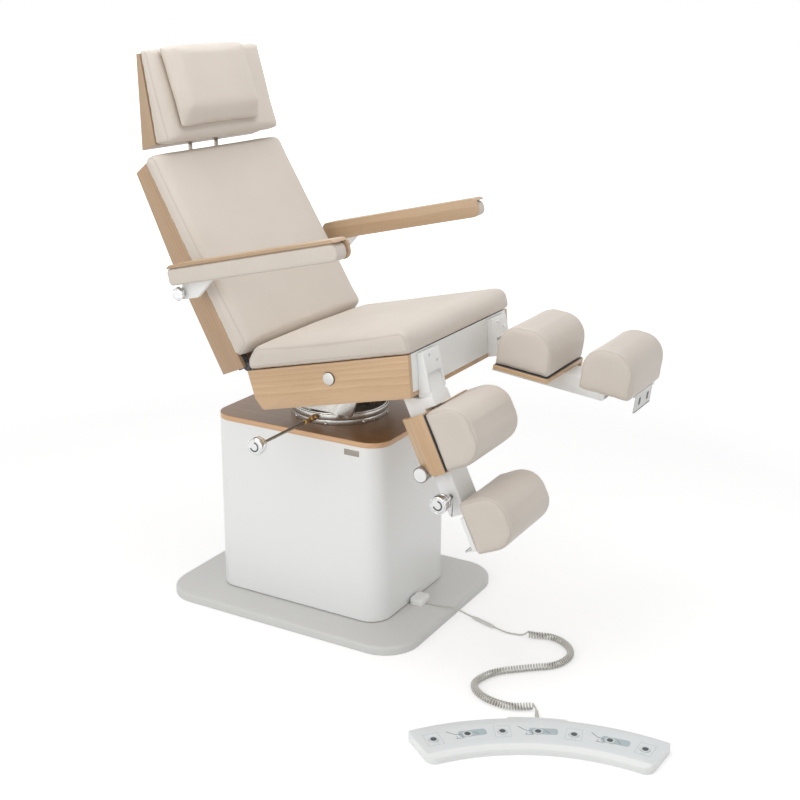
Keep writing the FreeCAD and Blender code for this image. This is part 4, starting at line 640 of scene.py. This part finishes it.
vinyl_grain, group_in, group_out = new_group(
    "vinyl_grain", (("Vector", VECTOR, None), ("Cell size", FLOAT, 620.0)),
    (("Height", FLOAT), ("Worn", FLOAT)))
cells = vinyl_grain.nodes.new("ShaderNodeTexVoronoi")
cells.feature = "SMOOTH_F1"
surface = group_in.outputs["Vector"]
vinyl_grain.links.new(surface, cells.inputs["Vector"])
vinyl_grain.links.new(group_in.outputs["Cell size"], cells.inputs["Scale"])
wander = noise(vinyl_grain, surface, scale=170.0, detail=3.0)
wander_share = 0.6
vinyl_grain.links.new(math_node(vinyl_grain, "ADD", cells.outputs["Distance"], math_node(
    vinyl_grain, "MULTIPLY", wander, wander_share)), group_out.inputs["Height"])
vinyl_grain.links.new(noise(vinyl_grain, surface, scale=6.0, detail=4.0),
                      group_out.inputs["Worn"])


def upholstery(name):
    """Beige coated fabric: grained, and a little darker where it is worn and at its seams."""
    material, tree, shader, place = new_material(name, Sheen_Weight=0.12, Sheen_Roughness=0.5)
    grain = placed(tree, vinyl_grain, place)
    seam = tree.nodes.new("ShaderNodeAttribute")
    seam.attribute_name = "seam"
    colour = mix_colours(tree, ramp(tree, grain.outputs["Worn"], start=0.35, slope=0.5),
                         tone(*vinyl_tone), tone(*vinyl_shade))
    colour = mix_colours(tree, math_node(tree, "MULTIPLY", seam.outputs["Fac"], seam_share),
                         colour, tone(*seam_tone))
    tree.links.new(colour, shader.inputs["Base Color"])
    tree.links.new(times_plus(tree, grain.outputs["Worn"], factor=0.16, plus=0.42),
                   shader.inputs["Roughness"])
    bump(tree, shader, grain.outputs["Height"], strength=0.22, distance=0.0003)
    return material


beige = upholstery("beige_upholstery")
stitch_width = 0.0018
stitch_depth = 0.0008
end_swell = 0.004
swell_steps = 12
seat_board_top = 0.0404


def inflate(piece, pressure, cap):
    """Swells the cover as stuffing does, and lets no point move further than cap."""
    before = [v.co.copy() for v in piece.data.vertices]
    cloth = piece.modifiers.new("Cloth", "CLOTH")
    cloth.settings.use_pressure = True
    cloth.settings.uniform_pressure_force = pressure
    cloth.settings.effector_weights.gravity = 0
    cloth.settings.quality = 3
    scene = bpy.context.scene
    for step in range(1, swell_steps + 1):
        scene.frame_set(step)
    shape = piece.evaluated_get(bpy.context.evaluated_depsgraph_get()).data
    after = [v.co.copy() for v in shape.vertices]
    piece.modifiers.remove(cloth)
    scene.frame_set(1)
    for vertex, old, new in zip(piece.data.vertices, before, after):
        move = new - old
        if move.length > cap:
            move *= cap / move.length
        vertex.co = old + move


def extent(points):
    """The lowest and the highest X, Y and Z among the points."""
    return [Vector([pick(p[i] for p in points) for i in range(3)]) for pick in (min, max)]


def stuffed(node, body, place, voxel, flat=None, pressure=3.0, cap=0.003, sunk=0.002,
            end_inset=0.006, soften_steps=9):
    """A padded piece from its CAD node: sunk, swollen by at most cap, softened, and sewn at
    end_inset from both ends. No point passes the plane flat, an axis, a level and a side."""
    piece = merged_copy(node, node + "_stuffed")
    remesh = piece.modifiers.new("remesh", "REMESH")
    remesh.mode = "VOXEL"
    remesh.voxel_size = voxel
    apply_all(piece)
    piece.data.transform(place.inverted())
    low, high = extent([v.co for v in piece.data.vertices])
    if sunk:
        for vertex in piece.data.vertices:
            vertex.co = vertex.co - vertex.normal * sunk
    if pressure:
        inflate(piece, pressure, cap)
    even = piece.modifiers.new("even", "SMOOTH")
    even.factor = 0.5
    even.iterations = soften_steps
    fine_mesh = piece.modifiers.new("fine", "SUBSURF")
    fine_mesh.levels = 1
    fine_mesh.render_levels = 1
    apply_all(piece)
    reach = (end_swell, 0, 0)
    for vertex in piece.data.vertices:
        for i in range(3):
            vertex.co[i] = min(max(vertex.co[i], low[i] - reach[i]), high[i] + reach[i])
        if flat is not None:
            axis, level, sign = flat
            if (vertex.co[axis] - level) * sign < 0:
                vertex.co[axis] = level
    low, high = extent([v.co for v in piece.data.vertices])
    seam = piece.data.attributes.new("seam", "FLOAT", "POINT")
    normals = [v.normal.copy() for v in piece.data.vertices]
    for i, vertex in enumerate(piece.data.vertices):
        from_end = min(vertex.co.x - low.x, high.x - vertex.co.x)
        away = 1 if end_inset is None else abs(from_end - end_inset) / stitch_width
        if away < 1:
            depth = (1 - away * away) ** 2
            vertex.co = vertex.co - normals[i] * (stitch_depth * depth)
            seam.data[i].value = depth
    piece.data.transform(place)
    smooth(piece, degrees=60)
    finish_piece(piece, body, "upholstery", beige, node)
    return piece


stuffed("seat_cushion", "seat", seat_place, voxel=0.0072, flat=(2, seat_board_top, 1))


# Back. A folded oak shell closed behind and at the sides, with the dark steel frame in its
# hollow, and a boxed cushion in front.
# The back's oak is painted darker and a little cooler: the shade on the back.
back_oak = oak("oak_back", turn=90 - back_lean, origin=(0.3, 0.2, -0.3),
               painted_shading=(0.87, 0.87, 0.89))
pad_back = -0.0004
eased("back_shell", "back", "oak", back_oak, board_ease, segments=3)
eased("back_frame", "back", "dark_steel", dark_steel, width=0.0008)
stuffed("back_cushion", "back", back_place, voxel=0.0076, end_inset=0.007,
        flat=(1, pad_back, -1))


# Headrest. Two bent chrome posts slide in the back; they carry an oak wedge, a boxed pad and a
# neck pillow that hangs on the pad.
# The headrest's oak is painted darker and cooler: the shade on it.
head_oak = oak("oak_headrest", turn=90 - (back_lean + head_turn), origin=(0.1, 0.5, -0.2),
               painted_shading=(0.87, 0.89, 0.93))
post_steel = marked_material("post_steel", (150, 143, 136), rough=0.16, drift=0.02, texture=900,
                             depth=0.00003, Metallic=1.0)
eased("headrest_posts", "headrest", "chrome", post_steel, width=0.0008)
eased("headrest_wood", "headrest", "oak", head_oak, board_ease, segments=3)
stuffed("headrest_pad", "headrest", head_place, voxel=0.006, flat=(1, pad_back, -1))
stuffed("neck_pillow", "headrest", head_place, voxel=0.0055, pressure=4.0, cap=0.006,
        sunk=0.005, end_inset=None, soften_steps=14)


# Arms. Each is a bent oak rail with a beige pad on its outer side, on a white bracket that
# swings on a pin of the back; a lobed chrome knob clamps it.
arm_pin = joint_places["arm_flip_right"]
lobe_count = 6
lobe_depth_share = 0.12
lobe_start_share = 0.7
lobe_rise_share = 0.2
lobed_shares = ((0, 0), (0.55, 0), (0.58, 0.1), (0.62, 0.3), (0.86, 0.4), (0.97, 0.52),
                (1, 0.66), (0.96, 0.82), (0.82, 0.94), (0.55, 1), (0.3, 0.985), (0, 0.98))


def lobed_knob(name, body, node, y, z, outward):
    """A chrome star grip: a turned knob whose rim swells into lobes."""
    place, radius, length = knob_fit(node, y, z, outward)
    piece = turned(name, sized(lobed_shares, radius, length), Matrix.Identity(4), steps=72)
    for vertex in piece.data.vertices:
        angle = math.atan2(vertex.co.y, vertex.co.x)
        reach = Vector((vertex.co.x, vertex.co.y)).length / radius
        if reach > lobe_start_share:
            dip = (0.5 + 0.5 * math.cos(lobe_count * angle)) * lobe_depth_share
            share = 1 - dip * min((reach - lobe_start_share) / lobe_rise_share, 1)
            vertex.co.x *= share
            vertex.co.y *= share
    piece.data.transform(place)
    smooth(piece, degrees=40)
    finish_piece(piece, body, "chrome", chrome, node)


for side, sign in sides:
    arm, knob = "arm_" + side, "arm_knob_" + side
    # Each arm's oak is painted a little darker and cooler: shade on the arm.
    arm_oak = oak("oak_arm_" + side, turn=-seat_lean, origin=(0.4 * sign, 0.0, -0.8),
                  painted_shading=(0.93, 0.95, 0.98))
    eased("arm_wood_" + side, arm, "oak", arm_oak, width=0.0015, segments=3)
    eased("arm_bracket_" + side, arm, "white_paint", white_paint, width=0.0012, segments=3)
    stuffed("arm_pad_" + side, arm, arm_place, voxel=0.0035, pressure=0, sunk=0,
            end_inset=0.0035, soften_steps=16)
    lobed_knob("arm_grip_" + side, knob, knob, arm_pin.y, arm_pin.z, sign)


# Leg rests. White box-section tubes on hinge pins, each with an oak calf board bent round its
# outer side, a calf pad, and a slider that carries the heel pad and a slotted end flange.
cap_radius = 0.021
cap_length = 0.026
cap_spot = (0.252, -0.218, -0.076)
cap_shares = ((0, 0), (1, 0), (1, 0.70), (0.95, 0.74), (1, 0.78), (1, 0.92), (0.9, 1), (0, 1))
disc_shares = ((0, 1), (0.86, 1), (0.82, 1.05), (0, 1.06))
flange_steel = marked_material("flange_steel", (205, 205, 203), rough=0.36, drift=0.04,
                               texture=1600, Metallic=0.5)
flange_start = -0.4442
slot_places = (0.212, 0.150)
slot_height = -0.030
slot_screw_rise = 0.0004
slot_screw_profile = ((0, 0), (0.0085, 0), (0.0085, 0.0015), (0.0045, 0.0015),
                      (0.0045, 0.004), (0, 0.004))
slot_shade_fill_sink = 0.0018
slot_shade_fill_size = (0.014, 0.0046, 0.020)
flange_middle = 0.181
flange_dark_strip = -0.0548
flange_dark_strip_size = (0.1215, 0.0046, 0.0032)
pad_base_rise = 0.002
shadow_strip_inset = 0.003
shadow_strip_share = 0.9
heel_plate_top = -0.0036
leg_grip_length = 0.051
stem_radius = 0.0058
stem_inner = 0.29
for side, sign in sides:
    place = leg_places[side]
    leg, slider_body, knob = "leg_" + side, "leg_slider_" + side, "leg_knob_" + side
    leg_oak = oak("oak_calf_" + side, turn=-leg_leans[side], origin=(0.15 * sign, 0.3, -0.7))
    eased("leg_tube_" + side, leg, "white_paint", white_paint, width=0.0015, segments=3)
    slider = eased("leg_slider_" + side, slider_body, "white_paint", white_paint, width=0.0006)
    to_leg = place.inverted()
    second_finish(slider, flange_steel, lambda face: (to_leg @ face.center).y < flange_start)
    # Dark screws with wide dark washers behind the flange, and dark plates set in its slots:
    # painted shade in the slots.
    parts = [turned("slot_screw", slot_screw_profile, place @ facing(
        (x * sign, flange_start + slot_screw_rise, slot_height), (0, 1, 0)), steps=24)
        for x in slot_places]
    dark_fill_y = flange_start - slot_shade_fill_sink
    parts += [block("slot_shade_fill", (x * sign, dark_fill_y, slot_height), slot_shade_fill_size,
                    ease=0.0003, segments=1, place=place) for x in slot_places]
    # A thin dark strip along the flange's bottom edge.
    parts.append(block("flange_dark_strip", (flange_middle * sign, dark_fill_y, flange_dark_strip),
                       flange_dark_strip_size, ease=0.0004, segments=1, place=place))
    finish_piece(joined("slot_screws_and_shade_" + side, parts), slider_body, "dark_steel", dark_steel)
    eased("calf_board_" + side, leg, "oak", leg_oak, width=0.0015, segments=3)
    calf_pad = stuffed("calf_pad_" + side, leg, place, voxel=0.0055, cap=0.0025, sunk=0.0015,
                       end_inset=0.005, soften_steps=10, flat=(2, pad_base_rise, 1))
    # A thin dark strip under the calf pad, inset from its edges: painted shadow in the gap between
    # the pad and the calf board.
    pad_low, pad_high = extent([to_leg @ v.co for v in calf_pad.data.vertices])
    shadow_strip_size = pad_high - pad_low - Vector((2, 2, 0)) * shadow_strip_inset
    pad_middle = (pad_low + pad_high) / 2
    pad_shadow_strip = block("calf_pad_shadow_strip_" + side,
                     (pad_middle.x, pad_middle.y, pad_base_rise / 2),
                     (shadow_strip_size.x, shadow_strip_size.y, pad_base_rise * shadow_strip_share),
                     ease=0.0004, place=place)
    finish_piece(pad_shadow_strip, leg, "dark_steel", dark_steel)
    stuffed("heel_pad_" + side, slider_body, place, voxel=0.0055, cap=0.0025, sunk=0.0015,
            end_inset=0.005, soften_steps=10, flat=(2, heel_plate_top, 1))
    cap_place = facing(place @ Vector((cap_spot[0] * sign, *cap_spot[1:])), (sign, 0, 0))
    finish_piece(turned("calf_cap_" + side, sized(cap_shares, cap_radius, cap_length),
                        cap_place), leg, "chrome", post_steel)
    finish_piece(turned("calf_cap_disc_" + side, sized(disc_shares, cap_radius, cap_length),
                        cap_place), leg, "white_paint", white_paint)
    low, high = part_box(knob)
    middle = (low + high) / 2
    round_knob(knob, knob, knob, middle.y, middle.z, sign, leg_grip_length)
    stem_end = high.x if sign < 0 else low.x
    stem = turned("leg_knob_stem_" + side,
                  sized(rod_shares, stem_radius, abs(stem_end - sign * stem_inner)),
                  facing((stem_end, middle.y, middle.z), (sign, 0, 0)), steps=24)
    finish_piece(stem, knob, "steel", rod_steel)


# Foot control. A pale moulded bar, curved round the operator's foot, with a printed film on
# top: seven round keys with dark dots, and plain chair drawings beside three of them.
control_plastic = marked_material("control_plastic", (248, 250, 249), rough=0.38, drift=0.02,
                                  Coat_Weight=0.1)
control_film = marked_material("control_film", (237, 241, 242), rough=0.36, drift=0.02,
                               depth=0.00006)
key_plastic = marked_material("key_plastic", (222, 228, 229), rough=0.4)
print_pale = marked_material("print_pale", (186, 200, 205), rough=0.42, depth=0.00005)
print_dark = marked_material("print_dark", (78, 86, 92), rough=0.45, depth=0.00005)
film_normal = 0.995
eased("foot_control_base", "root", "control_white", control_plastic, width=0.001)
cover = eased("foot_control_cover", "root", "control_white", control_plastic, width=0.0014,
              segments=3)
second_finish(cover, control_film, lambda face: face.normal.z > film_normal)
control_middle = Vector((-0.983, -1.111, 0))
film_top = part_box("foot_control_cover")[1].z
print_rise = 0.00025
patch_rise = 0.00012
patch_size = (0.068, 0.026)
patch_corner = 0.008
patch_middle = (0.013, 0.002)
corner_steps = 5
hole_steps = 28
key_gap = 0.0004
key_ease = 0.0008
key_rim_drop = 0.0001
key_dish_depth = 0.0003
dot_sink = 0.0004
dot_share = 0.62
key_line_width = 0.0007


def printed(name, points, base, rise=print_rise):
    """A flat printed shape: an outline in metres laid on the film, a hair's breadth thick."""
    mesh = bpy.data.meshes.new(name)
    mesh.from_pydata([(x, y, 0) for x, y in points], [], [tuple(range(len(points)))])
    piece = in_scene(name, mesh)
    wall = piece.modifiers.new("wall", "SOLIDIFY")
    wall.thickness = rise
    wall.offset = 1
    apply_all(piece)
    select_only(piece)
    bpy.ops.object.mode_set(mode="EDIT")
    bpy.ops.mesh.select_all(action="SELECT")
    bpy.ops.mesh.normals_make_consistent(inside=False)
    bpy.ops.object.mode_set(mode="OBJECT")
    piece.data.transform(base)
    return piece


def strip(start, end, width):
    """The outline of a printed line from start to end."""
    along = Vector(end) - Vector(start)
    side = Vector((-along.y, along.x)).normalized() * (width / 2)
    a, b = Vector(start), Vector(end)
    return [tuple(a - side), tuple(b - side), tuple(b + side), tuple(a + side)]


def round_patch():
    """The outline of the printed patch beside a key, with round corners."""
    points = []
    for x, y, first in ((1, 1, 0), (-1, 1, 90), (-1, -1, 180), (1, -1, 270)):
        for i in range(corner_steps + 1):
            angle = math.radians(first + 90 * i / corner_steps)
            points.append((
                patch_middle[0] + x * (patch_size[0] / 2 - patch_corner)
                + patch_corner * math.cos(angle),
                patch_middle[1] + y * (patch_size[1] / 2 - patch_corner)
                + patch_corner * math.sin(angle)))
    return points


def patch_round_key(hole):
    """The patch's outline, whose lower edge opens into a hole of this radius for a key."""
    points = round_patch()
    lower_left = 3 * (corner_steps + 1)
    open_angle = math.asin((patch_middle[1] - patch_size[1] / 2) / hole)
    first, last = math.pi - open_angle, open_angle
    rim = []
    for i in range(hole_steps + 1):
        angle = first + (last - first) * i / hole_steps
        rim.append((hole * math.cos(angle), hole * math.sin(angle)))
    return points[:lower_left] + rim + points[lower_left:]


drawing_lines = (
    ((-0.030, 0.004), (-0.048, 0.019), 0.0013),
    ((-0.030, 0.004), (-0.014, 0.001), 0.0013),
    ((-0.027, -0.003), (-0.027, -0.014), 0.0008),
    ((-0.014, -0.003), (-0.014, -0.014), 0.0008),
    ((-0.031, -0.014), (-0.010, -0.014), 0.0010),
    ((0.016, 0.006), (0.027, -0.006), 0.0011),
)
key_frame = (
    ((-0.019, -0.024), (-0.019, 0.024)), ((0.019, -0.024), (0.019, 0.024)),
    ((-0.019, -0.024), (0.019, -0.024)), ((-0.019, 0.024), (0.019, 0.024)),
    ((-0.004, -0.022), (-0.004, -0.016)), ((0.004, -0.022), (0.004, -0.016)),
)
for number in range(1, 8):
    button = "button_%d" % number
    low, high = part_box(button)
    middle = (low + high) / 2
    radial = (Vector((middle.x, middle.y, 0)) - control_middle).normalized()
    sideways = Vector((radial.y, -radial.x, 0))
    radius = (high.x - low.x) / 2
    depth = high.z - low.z
    dish = depth - key_dish_depth
    key_place = Matrix.Translation((middle.x, middle.y, low.z))
    key_profile = ((0, 0), (radius, 0), (radius, depth - key_ease),
                   (radius - key_ease, depth - key_rim_drop), (dot_share * radius, dish),
                   (0, dish))
    finish_piece(turned(button + "_key", key_profile, key_place, steps=48), button,
                 "button_grey", key_plastic, button)
    dot_profile = ((0, depth - dot_sink), (dot_share * radius, depth - dot_sink),
                   (dot_share * radius, depth), (0, depth))
    finish_piece(turned(button + "_dot", dot_profile, key_place, steps=32), button,
                 "knob_plastic", print_dark)
    base = Matrix.Translation((middle.x, middle.y, film_top)) @ Matrix(
        (sideways, radial, Vector((0, 0, 1)))).transposed().to_4x4()
    if number % 2:
        marks = [printed("key_line", strip(a, b, key_line_width), base) for a, b in key_frame]
        finish_piece(joined("key_lines_%d" % number, marks), "root", "button_grey", print_pale)
    else:
        patch = printed("drawing_patch_%d" % number, patch_round_key(radius + key_gap), base,
                        patch_rise)
        finish_piece(patch, "root", "button_grey", print_pale)
        marks = [printed("line", strip(a, b, width), base) for a, b, width in drawing_lines]
        finish_piece(joined("drawing_lines_%d" % number, marks), "root", "knob_plastic",
                     print_dark)


# Lead of the foot control. A thin grey lead leaves a white outlet on the base plate, passes a
# moulded sleeve on the floor and runs into a curly cord, which ends in a strain relief.
cord_grey = marked_material("cord_grey", (212, 210, 203), rough=0.5, texture=1500)
sleeve_grey = marked_material("sleeve_grey", (222, 221, 216), rough=0.5, drift=0.05,
                              texture=1500)
eased("cord_outlet", "root", "white_paint", white_paint, width=0.001)
lead_route = (
    (-0.013, -0.320, 0.0285),
    (-0.013, -0.343, 0.0285),
    (-0.009, -0.371, 0.0290),
    (-0.004, -0.398, 0.0310),
    (0.007, -0.420, 0.0180),
    (0.0174, -0.437, 0.0060),
    (0.012, -0.455, 0.0060),
)
tail_route = (
    (-0.012, -0.535, 0.0060),
    (-0.0171, -0.552, 0.0060),
    (-0.019, -0.574, 0.0033),
    (-0.015, -0.597, 0.0029),
    (-0.009, -0.622, 0.0029),
)
curl_route = (
    (-0.009, -0.632), (-0.003, -0.660), (0.009, -0.688), (0.005, -0.724), (-0.018, -0.760),
    (-0.056, -0.783), (-0.100, -0.780), (-0.137, -0.762), (-0.168, -0.722), (-0.200, -0.686),
    (-0.234, -0.648), (-0.274, -0.630), (-0.317, -0.621), (-0.350, -0.643), (-0.370, -0.682),
    (-0.376, -0.722), (-0.371, -0.756), (-0.356, -0.782), (-0.341, -0.800),
)
lead_diameter = 0.005
curl_wire = 0.0046
curl_radius = 0.0077
curl_height = 0.0103
curl_count = 94
curl_steps = 12
end_steps = 6
relief_inner = 0.657
relief_length = 0.037
relief_radius = 0.006
relief_taper = 0.0022
relief_end_radius = 0.0028
relief_ribs = 7
rib_share = 0.72
groove_share = 0.96
rib_round = 0.0002
groove_depth = 0.001
sleeve_radius = 0.0055
sleeve_shares = ((0, 0), (0.6, 0), (0.7, 0.02), (0.92, 0.16), (1, 0.24), (1, 0.47),
                 (0.93, 0.485), (0.93, 0.515), (1, 0.53), (1, 0.76), (0.92, 0.84),
                 (0.7, 0.98), (0.6, 1), (0, 1))


def cord_curve(name, points, diameter):
    """A cord as one smooth spline that the points steer."""
    curve = bpy.data.curves.new(name, "CURVE")
    curve.dimensions = "3D"
    curve.resolution_u = 4
    curve.bevel_depth = diameter / 2
    curve.bevel_resolution = 3
    curve.use_fill_caps = True
    spline = curve.splines.new("NURBS")
    spline.points.add(len(points) - 1)
    for point, place in zip(spline.points, points):
        point.co = (*place, 1)
    spline.order_u = 3
    spline.use_endpoint_u = True
    return in_scene(name, curve)


def line_points(points):
    """Close points along the smooth line that a route steers, and the length so far at each."""
    guide = cord_curve("guide", points, 0)
    guide.data.resolution_u = 40
    bpy.context.view_layer.update()
    mesh = bpy.data.meshes.new_from_object(guide)
    found = [v.co.copy() for v in mesh.vertices]
    bpy.data.objects.remove(guide)
    bpy.data.meshes.remove(mesh)
    lengths = [0.0]
    for a, b in zip(found, found[1:]):
        lengths.append(lengths[-1] + (b - a).length)
    return found, lengths


def at_length(found, lengths, wanted):
    """The point and direction at a length along a line."""
    for i in range(1, len(found)):
        if lengths[i] >= wanted or i == len(found) - 1:
            span = lengths[i] - lengths[i - 1]
            share = min(max((wanted - lengths[i - 1]) / span, 0), 1)
            way = (found[i] - found[i - 1]).normalized()
            return found[i - 1].lerp(found[i], share), way
    return found[-1], (found[-1] - found[-2]).normalized()


lead = cord_curve("foot_lead_cord", lead_route, lead_diameter)
_, lead_lengths = line_points(lead_route)
relief_low, relief_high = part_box("strain_relief")
control_way = (Vector((relief_low.x + relief_high.x, relief_low.y + relief_high.y, 0)) / 2
               - control_middle).normalized()
relief_height = (relief_low.z + relief_high.z) / 2
relief_foot = control_middle + control_way * relief_inner + Vector((0, 0, relief_height))
relief_top = relief_foot + control_way * relief_length

axis_found, axis_lengths = line_points([(x, y, curl_height) for x, y in curl_route])
axis_total = axis_lengths[-1]
curls = [Vector(p) for p in tail_route]
tighten = 1 / math.cos(math.pi / curl_steps) ** 0.5
for step in range(end_steps, curl_count * curl_steps - end_steps + 1):
    phase = math.tau * step / curl_steps
    middle, way = at_length(axis_found, axis_lengths,
                            axis_total * step / (curl_count * curl_steps))
    sideways = Vector((0, 0, 1)).cross(way)
    curls.append(middle - (Vector((0, 0, 1)) * math.cos(phase) + sideways * math.sin(phase))
                 * curl_radius * tighten)
curls.append(relief_top + control_way * curl_wire)
curls.append(relief_top)
curly = cord_curve("curly_cord_wire", curls, curl_wire)
curly.data.bevel_resolution = 1
curly.data.resolution_u = 2

_, curl_lengths = line_points(curls)
sleeve_from, sleeve_to = Vector(lead_route[-1]), Vector(tail_route[0])
sleeve_way = sleeve_to - sleeve_from
sleeve = turned("lead_sleeve_moulded", sized(sleeve_shares, sleeve_radius, sleeve_way.length),
                facing(sleeve_from, sleeve_way), steps=32)
finish_piece(sleeve, "root", "cord_grey", sleeve_grey, "lead_sleeve")
relief_profile = [(0, 0)]
for i in range(relief_ribs):
    outer = relief_radius - relief_taper * i / relief_ribs
    start, end, groove_end = (relief_length * (i + share) / relief_ribs
                              for share in (0, rib_share, groove_share))
    relief_profile += [(outer, start), (outer - rib_round, end),
                       (outer - groove_depth, end + rib_round), (outer - groove_depth, groove_end)]
relief_profile += [(relief_end_radius, relief_length), (0, relief_length)]
relief = turned("strain_relief_ribbed", relief_profile, facing(relief_foot, control_way),
                steps=28)
finish_piece(relief, "root", "cord_grey", cord_grey, "strain_relief")
for piece, nodes in ((lead, ("foot_lead",)), (curly, ("curly_cord", "foot_lead_tail"))):
    finish_piece(piece, "root", "cord_grey", cord_grey, *nodes)


# Floor and light. A pale floor that fades to white, under soft studio light: a broad lamp to the
# chair's right, a smaller one above it, a weak one ahead of it, and an even pale sky.
floor_size = 60.0
fade_start = 1.8
fade_width = 5.0
floor_grey = 0.84
sky_light, sky_seen = 0.55, 0.45
floor_glow, far_glow = 0.38, 0.62
world = bpy.data.worlds.new("studio")
bpy.context.scene.world = world
world.use_nodes = True
sky = world.node_tree
sky_shader = sky.nodes["Background"]


def seen_rays(tree):
    """1 where the camera looks straight, by a reflection or through glass, and 0 for light."""
    rays = tree.nodes.new("ShaderNodeLightPath")
    return math_node(tree, "MAXIMUM", rays.outputs["Is Camera Ray"], math_node(
        tree, "MAXIMUM", rays.outputs["Is Glossy Ray"], rays.outputs["Is Transmission Ray"]))


sky_strength = times_plus(sky, seen_rays(sky), sky_seen, sky_light)
sky_shader.inputs["Color"].default_value = (1, 1, 1, 1)
sky.links.new(sky_strength, sky_shader.inputs["Strength"])

bpy.ops.object.select_all(action="DESELECT")
bpy.ops.mesh.primitive_plane_add(size=floor_size, location=(0, 0, 0))
floor = bpy.context.object
floor.name = "floor"
floor_material, tree, shader, place = new_material("pale_floor", specular=0.2)
shader.inputs["Base Color"].default_value = (floor_grey, floor_grey, floor_grey, 1)
shader.inputs["Roughness"].default_value = 0.7
shader.inputs["Emission Color"].default_value = (1, 1, 1, 1)
distance = tree.nodes.new("ShaderNodeVectorMath")
distance.operation = "LENGTH"
tree.links.new(place, distance.inputs[0])
fade = ramp(tree, distance.outputs["Value"], start=fade_start, slope=1 / fade_width)
glow = times_plus(tree, fade, far_glow, floor_glow)
tree.links.new(math_node(tree, "MULTIPLY", seen_rays(tree), glow),
               shader.inputs["Emission Strength"])
floor.data.materials.append(floor_material)

lamps = (
    ("lamp_right", (-3.8, 0.3, 1.9), 3.0, 40.0),
    ("lamp_front", (0.3, -4.2, 1.6), 3.0, 10.0),
    ("lamp_above", (-0.1, 0.0, 2.6), 2.0, 17.0),
)
aim = Vector((0, -0.1, 0.7))
for name, spot, size, power in lamps:
    lamp_data = bpy.data.lights.new(name, "AREA")
    lamp_data.shape = "DISK"
    lamp_data.size = size
    lamp_data.energy = power
    lamp = in_scene(name, lamp_data)
    lamp.matrix_world = Matrix.Translation(spot) @ (aim - Vector(spot)).to_track_quat(
        "-Z", "Y").to_matrix().to_4x4()

bpy.context.scene.view_settings.view_transform = "Standard"
